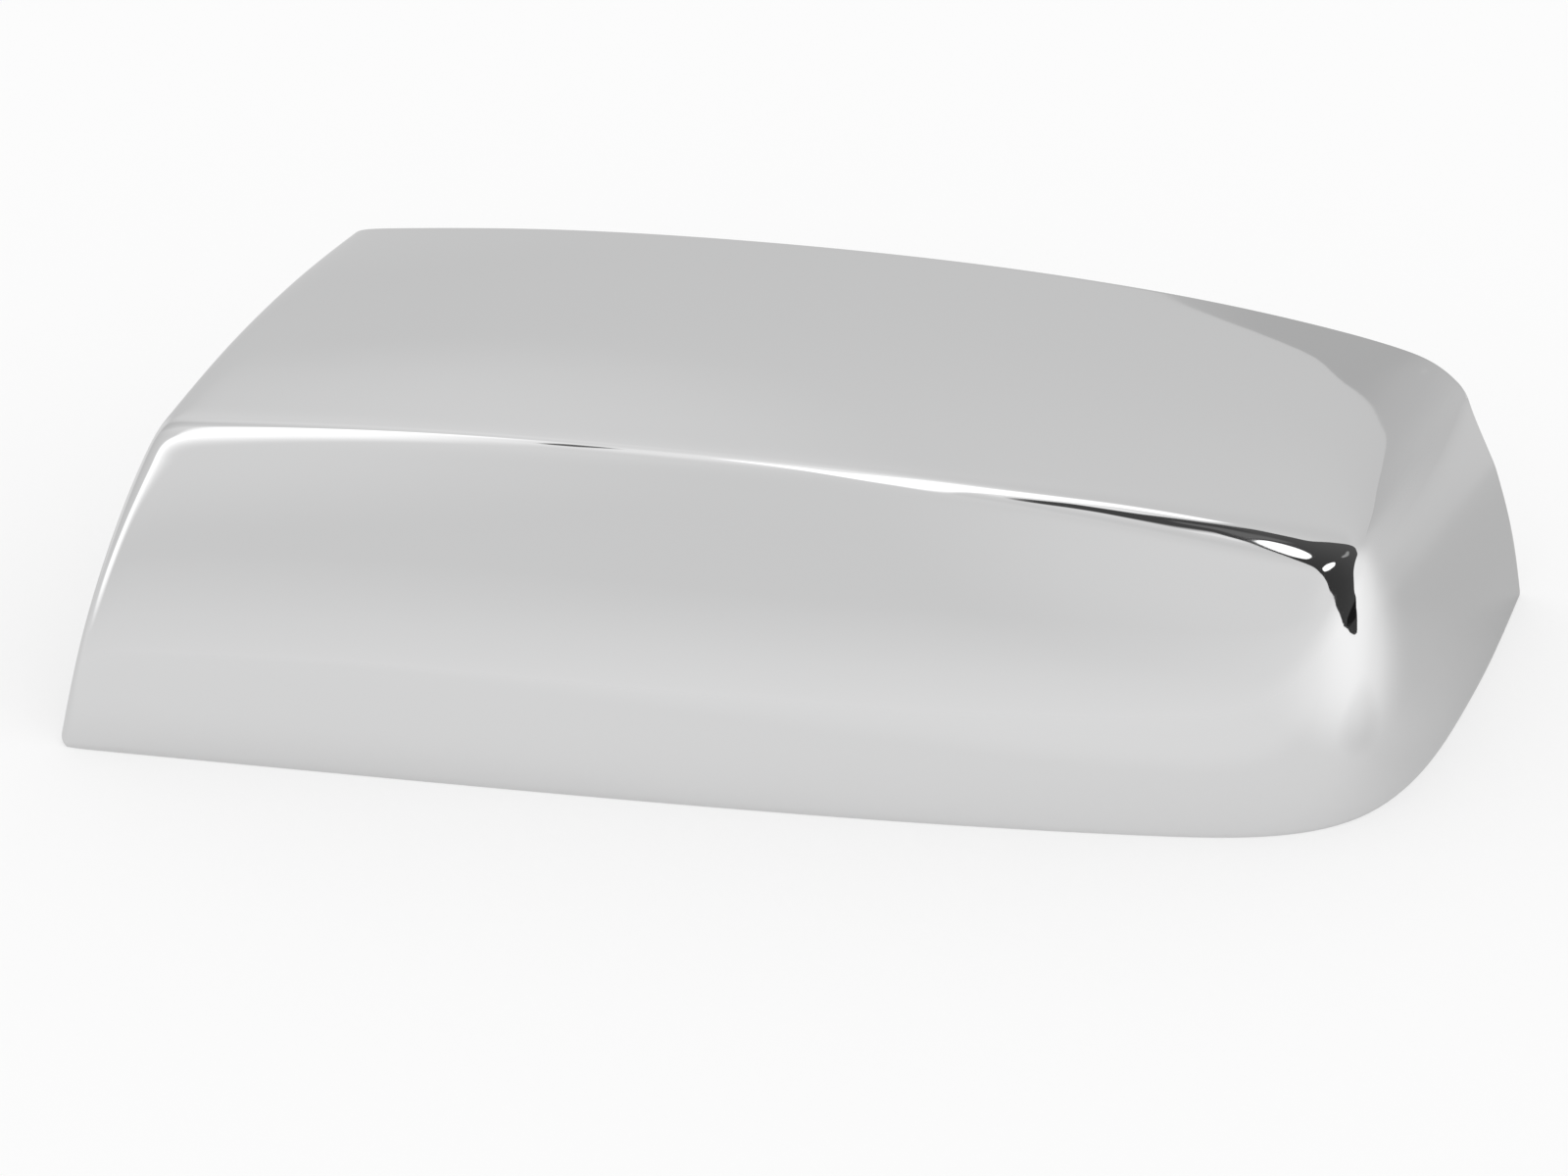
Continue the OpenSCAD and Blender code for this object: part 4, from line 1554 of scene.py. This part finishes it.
def tent_cards() -> list[OutlinedCard | StripCard]:
    """Cards that stand for the tent's opening, its lamps and its seams."""
    return [
        OutlinedCard("tent_opening", (0.05, 0.12), StandOff.TENT, (0.6, -0.6), [
            (0.121, 0.25), (0.137, 0.235), (0.165, 0.225), (0.19, 0.29), (0.226, 0.33), (0.33, 0.365),
            (0.46, 0.355), (0.56, 0.29), (0.635, 0.22), (0.68, 0.08), (0.735, -0.15), (0.775, -0.285),
            (0.84, -0.383), (0.876, -0.408), (0.905, -0.392), (0.932, -0.36), (0.905, -0.4235),
            (0.86, -0.509), (0.8, -0.599), (0.741, -0.6695), (0.684, -0.697), (0.615, -0.722),
            (0.543, -0.745), (0.489, -0.757), (0.437, -0.77), (0.39, -0.777), (0.355, -0.768),
            (0.31, -0.735), (0.255, -0.68),
            (0.215, -0.62), (0.17, -0.57), (0.152, -0.52), (0.143, -0.455), (0.137, -0.35), (0.127, -0.25),
            (0.12, 0.0),
        ]),
        OutlinedCard("opening_foot", (0.062, 0.062), StandOff.TENT, (0.93, -0.47), [
            (0.933, -0.3605), (0.943, -0.362), (0.966, -0.347), (0.985, -0.345), (1.007, -0.346),
            (1.016, -0.352), (1.0, -0.39), (0.972, -0.443), (0.925, -0.508), (0.872, -0.566),
            (0.782, -0.644), (0.744, -0.6685), (0.8, -0.6015), (0.86, -0.512), (0.905, -0.4275),
        ]),
        StripCard("opening_edge", (0.08, 0.08), StandOff.TENT, (0.2, 0.2), [
            (0.03, -0.3, 0.03, -0.43, 0.0), (0.038, -0.28, 0.036, -0.43, 0.6), (0.05, -0.18, 0.048, -0.41, 1.0),
            (0.063, -0.06, 0.0615, -0.38, 1.0), (0.078, -0.01, 0.076, -0.36, 1.0),
            (0.092, 0.05, 0.092, -0.38, 1.0), (0.104, 0.22, 0.109, -0.4, 1.0),
            (0.117, 0.31, 0.124, -0.33, 1.0), (0.13, 0.3, 0.138, -0.32, 1.0),
        ]),
        StripCard("opening_mist", (0.19, 0.19), StandOff.BEFORE_TENT, (0.35, 0.35), [
            (0.104, 0.03, 0.105, -0.15, 0.0), (0.11, 0.02, 0.111, -0.15, 0.8), (0.122, 0.1, 0.126, -0.13, 1.0),
            (0.133, 0.13, 0.139, -0.28, 1.0), (0.147, 0.08, 0.146, -0.13, 1.0),
            (0.158, 0.05, 0.157, -0.1, 0.7), (0.17, 0.02, 0.17, -0.08, 0.0),
        ]),
        OutlinedCard("opening_lamp", (1.8, 1.8), StandOff.BEFORE_TENT, (0.17, -0.34), [
            (0.142, -0.27), (0.147, -0.15), (0.1555, -0.14), (0.168, -0.18), (0.185, -0.245),
            (0.203, -0.33), (0.205, -0.41), (0.19, -0.485), (0.164, -0.498), (0.151, -0.46), (0.145, -0.385),
        ]),
        StripCard("lamp_halo", (0.42, 0.42), StandOff.TENT, (0.3, 0.3), [
            (0.19, -0.25, 0.19, -0.62, 0.9), (0.205, -0.25, 0.205, -0.62, 0.8),
            (0.222, -0.25, 0.222, -0.52, 0.5), (0.245, -0.3, 0.245, -0.45, 0.0),
        ]),
        OutlinedCard("opening_lamp_small", (1.8, 1.8), StandOff.BEFORE_TENT, (0.32, -0.51), [
            (0.265, -0.605), (0.275, -0.545), (0.295, -0.48), (0.317, -0.43), (0.34, -0.39), (0.363, -0.385),
            (0.37, -0.45), (0.355, -0.51), (0.335, -0.565), (0.308, -0.615), (0.28, -0.64),
        ]),
        StripCard("opening_depth", (0.015, 0.015), StandOff.BEFORE_TENT, (0.15, 0.15), [
            (0.766, -0.643, 0.769, -0.645, 0.5), (0.787, -0.615, 0.799, -0.624, 0.9),
            (0.803, -0.583, 0.828, -0.602, 1.0), (0.826, -0.536, 0.8655, -0.562, 1.0),
            (0.8615, -0.4775, 0.906, -0.502, 1.0), (0.8945, -0.417, 0.941, -0.439, 1.0),
            (0.905, -0.3935, 0.9675, -0.381, 1.0),
        ]),
        StripCard("opening_haze", (0.42, 0.42), StandOff.BEFORE_TENT, (0.35, 0.35), [
            (0.385, -0.16, 0.43, -0.17, 0.0), (0.39, -0.1, 0.455, -0.11, 0.9), (0.4, -0.02, 0.49, -0.03, 1.0),
            (0.4, 0.06, 0.5, 0.05, 1.0), (0.395, 0.13, 0.47, 0.13, 0.9), (0.4, 0.19, 0.45, 0.19, 0.0),
        ]),
        StripCard("inboard_lamp", (1.7, 1.7), StandOff.TENT, (0.2, 0.6), [
            (-0.84, -0.42, -0.87, -0.48, 0.0), (-0.7, -0.52, -0.74, -0.64, 0.8),
            (-0.58, -0.57, -0.61, -0.74, 1.0), (-0.47, -0.57, -0.47, -0.74, 1.0),
            (-0.36, -0.5, -0.29, -0.71, 1.0), (-0.33, -0.36, -0.17, -0.62, 1.0),
            (-0.31, -0.2, -0.14, -0.48, 1.0), (-0.285, -0.04, -0.135, -0.17, 1.0),
            (-0.22, 0.12, -0.13, 0.04, 1.0), (-0.15, 0.2, -0.1, 0.16, 0.0),
        ]),
        StripCard("overhead_lamp", (1.75, 1.75), StandOff.TENT, (0.25, 0.12), [
            (-0.09, -0.08, -0.09, -0.14, 0.0), (-0.075, -0.03, -0.075, -0.24, 0.8),
            (-0.055, -0.04, -0.055, -0.4, 1.0), (-0.04, -0.08, -0.04, -0.54, 1.0),
            (-0.025, 0.05, -0.025, -0.6, 1.0), (-0.005, 0.18, -0.005, -0.6, 1.0),
            (0.02, 0.2, 0.02, -0.36, 1.0), (0.043, 0.3, 0.043, -0.18, 1.0), (0.06, 0.36, 0.06, 0.0, 1.0),
            (0.078, 0.37, 0.078, 0.17, 1.0), (0.1, 0.36, 0.1, 0.22, 0.9), (0.112, 0.36, 0.112, 0.29, 0.0),
        ]),
        StripCard("opening_gleam", (1.15, 1.15), StandOff.TENT, (0.3, 0.3), [
            (0.104, -0.36, 0.104, -0.42, 0.0), (0.115, -0.34, 0.114, -0.42, 0.8),
            (0.124, -0.31, 0.122, -0.4, 1.0), (0.134, -0.35, 0.131, -0.42, 0.8),
            (0.138, -0.4, 0.134, -0.46, 0.0),
        ]),
        StripCard("overhead_seam", (0.16, 0.16), StandOff.BEFORE_TENT, (0.3, 0.3), [
            (-0.145, -0.28, -0.13, -0.28, 0.0), (-0.15, -0.2, -0.127, -0.2, 1.0),
            (-0.147, -0.08, -0.118, -0.08, 1.0), (-0.143, 0.0, -0.118, 0.0, 0.6),
            (-0.14, 0.04, -0.12, 0.04, 0.0),
        ]),
        StripCard("rear_drape", (0.6, 0.6), StandOff.TENT, (0.0, 0.3), [
            (-0.08, 0.795, -0.08, 1.0, 0.0), (0.02, 0.79, 0.02, 1.0, 0.6), (0.09, 0.787, 0.1, 1.0, 1.0),
            (0.15, 0.757, 0.18, 1.0, 1.0), (0.26, 0.742, 0.3, 1.0, 0.7), (0.36, 0.735, 0.42, 1.0, 0.6),
            (0.42, 0.72, 0.52, 1.0, 0.55), (0.47, 0.66, 0.62, 0.98, 0.4), (0.52, 0.6, 0.75, 0.92, 0.0),
        ]),
    ]


@dataclass
class Floor:
    """Pale floor that keeps the cover's shadow.

    Reflections show it as lit by the tent's walls, and darker beside the outboard end.
    """

    light: bpy.types.NodeTree
    radius: float = 8.0
    shade: float = 0.95
    glow_share: float = 0.5
    lit: float = 0.955
    middle: tuple[float, float, float] = (0.11, -0.02, 0.07)
    shadow_middle: tuple[float, float, float] = (0.14, 0.1, 0.0)
    shadow_reach: tuple[float, float] = (0.02, 0.12)
    shadow_depth: float = 0.14

    def build(self) -> bpy.types.Object:
        """Models the floor as a disc.

        Returns:
            The floor.
        """
        deselect_all()
        bpy.ops.mesh.primitive_circle_add(vertices=96, radius=self.radius, fill_type="NGON")
        floor = new_piece("floor")
        bpy.ops.object.mode_set(mode="EDIT")
        bpy.ops.mesh.select_all(action="SELECT")
        bpy.ops.mesh.inset(thickness=self.radius * 0.05)
        bpy.ops.object.mode_set(mode="OBJECT")
        floor.data.materials.append(self._material())
        return floor

    def _material(self) -> bpy.types.Material:
        """Matt white that shows as white to the camera and as the tent lights it in reflections."""
        material = bpy.data.materials.new("white_floor")
        material.use_nodes = True
        tree = material.node_tree
        nodes, links = tree.nodes, tree.links
        shader = nodes["Principled BSDF"]
        shader.inputs["Base Color"].default_value = (self.shade, self.shade, self.shade, 1.0)
        shader.inputs["Roughness"].default_value = 0.9
        shader.inputs["Specular IOR Level"].default_value = 0.0
        path = nodes.new("ShaderNodeLightPath").outputs
        reflected = linked_math(tree, "MAXIMUM", path["Is Glossy Ray"], path["Is Transmission Ray"])
        seen = linked_math(tree, "MAXIMUM", path["Is Camera Ray"], reflected)
        shown = nodes.new("ShaderNodeMix")
        shown.data_type = "FLOAT"
        shown.inputs["A"].default_value = 1.0
        links.new(reflected, shown.inputs["Factor"])
        links.new(self._reflection(tree), shown.inputs["B"])
        glow = nodes.new("ShaderNodeEmission")
        links.new(shown.outputs["Result"], glow.inputs["Strength"])
        blend = nodes.new("ShaderNodeMixShader")
        links.new(linked_math(tree, "MULTIPLY", seen, self.glow_share), blend.inputs["Fac"])
        links.new(shader.outputs[0], blend.inputs[1])
        links.new(glow.outputs[0], blend.inputs[2])
        links.new(blend.outputs[0], nodes["Material Output"].inputs["Surface"])
        return material

    def _reflection(self, tree: bpy.types.NodeTree) -> bpy.types.NodeSocket:
        """Adds the glow that makes the floor as bright in reflections as the tent lights it.

        Args:
            tree: The floor material's tree.

        Returns:
            The strength of the glow.
        """
        place = tree.nodes.new("ShaderNodeTexCoord").outputs["Object"]
        away = tree.nodes.new("ShaderNodeVectorMath")
        away.operation = "SUBTRACT"
        away.inputs[1].default_value = self.middle
        tree.links.new(place, away.inputs[0])
        direction = tree.nodes.new("ShaderNodeVectorMath")
        direction.operation = "NORMALIZE"
        tree.links.new(away.outputs[0], direction.inputs[0])
        tent = tree.nodes.new("ShaderNodeGroup")
        tent.node_tree = self.light
        tree.links.new(direction.outputs[0], tent.inputs[0])
        gap = tree.nodes.new("ShaderNodeVectorMath")
        gap.operation = "DISTANCE"
        gap.inputs[1].default_value = self.shadow_middle
        tree.links.new(place, gap.inputs[0])
        shadow = linked_range(tree, gap.outputs["Value"], self.shadow_reach, (1.0 - self.shadow_depth, 1.0))
        wanted = linked_math(tree, "MULTIPLY", tent.outputs[0], shadow)
        left = linked_math(tree, "SUBTRACT", wanted, (1.0 - self.glow_share) * self.lit)
        return linked_math(tree, "DIVIDE", left, self.glow_share)


@dataclass
class ProductCamera:
    """Camera at the photograph's viewing angle."""

    azimuth: float = 10.0
    elevation: float = 30.0
    distance: float = 0.8574
    lens: float = 100.0
    target: tuple[float, float, float] = (-0.005082, -0.002501, 0.01945)

    def build(self) -> bpy.types.Object:
        """Places the camera and makes it the scene's.

        Returns:
            The camera.
        """
        a, e = math.radians(self.azimuth), math.radians(self.elevation)
        back = Vector((math.sin(a) * math.cos(e), -math.cos(a) * math.cos(e), math.sin(e)))
        deselect_all()
        bpy.ops.object.camera_add(
            location=Vector(self.target) + back * self.distance, rotation=back.to_track_quat("Z", "Y").to_euler()
        )
        camera = bpy.context.active_object
        camera.name = "product_camera"
        camera.data.lens = self.lens
        camera.data.sensor_width = 36.0
        camera.data.clip_end = 100.0
        bpy.context.scene.camera = camera
        return camera


def main() -> None:
    """Builds the cover and its studio in order."""
    logging.basicConfig(level=logging.INFO, format="%(name)s: %(message)s")
    camera = ProductCamera().build()
    log.info("camera %s", camera.name)
    cover = CoverMoulding(Moulding()).build()
    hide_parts(NODE)
    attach(cover, BODY)
    log.info("%s: %d faces", cover.name, len(cover.data.polygons))
    for card in tent_cards():
        log.info("card %s", card.build().name)
    light = SoftTent().build()
    log.info("tent %s", light.name)
    log.info("floor %s", Floor(light).build().name)
    bpy.context.scene.view_settings.view_transform = "Standard"


if __name__ == "__main__":
    main()
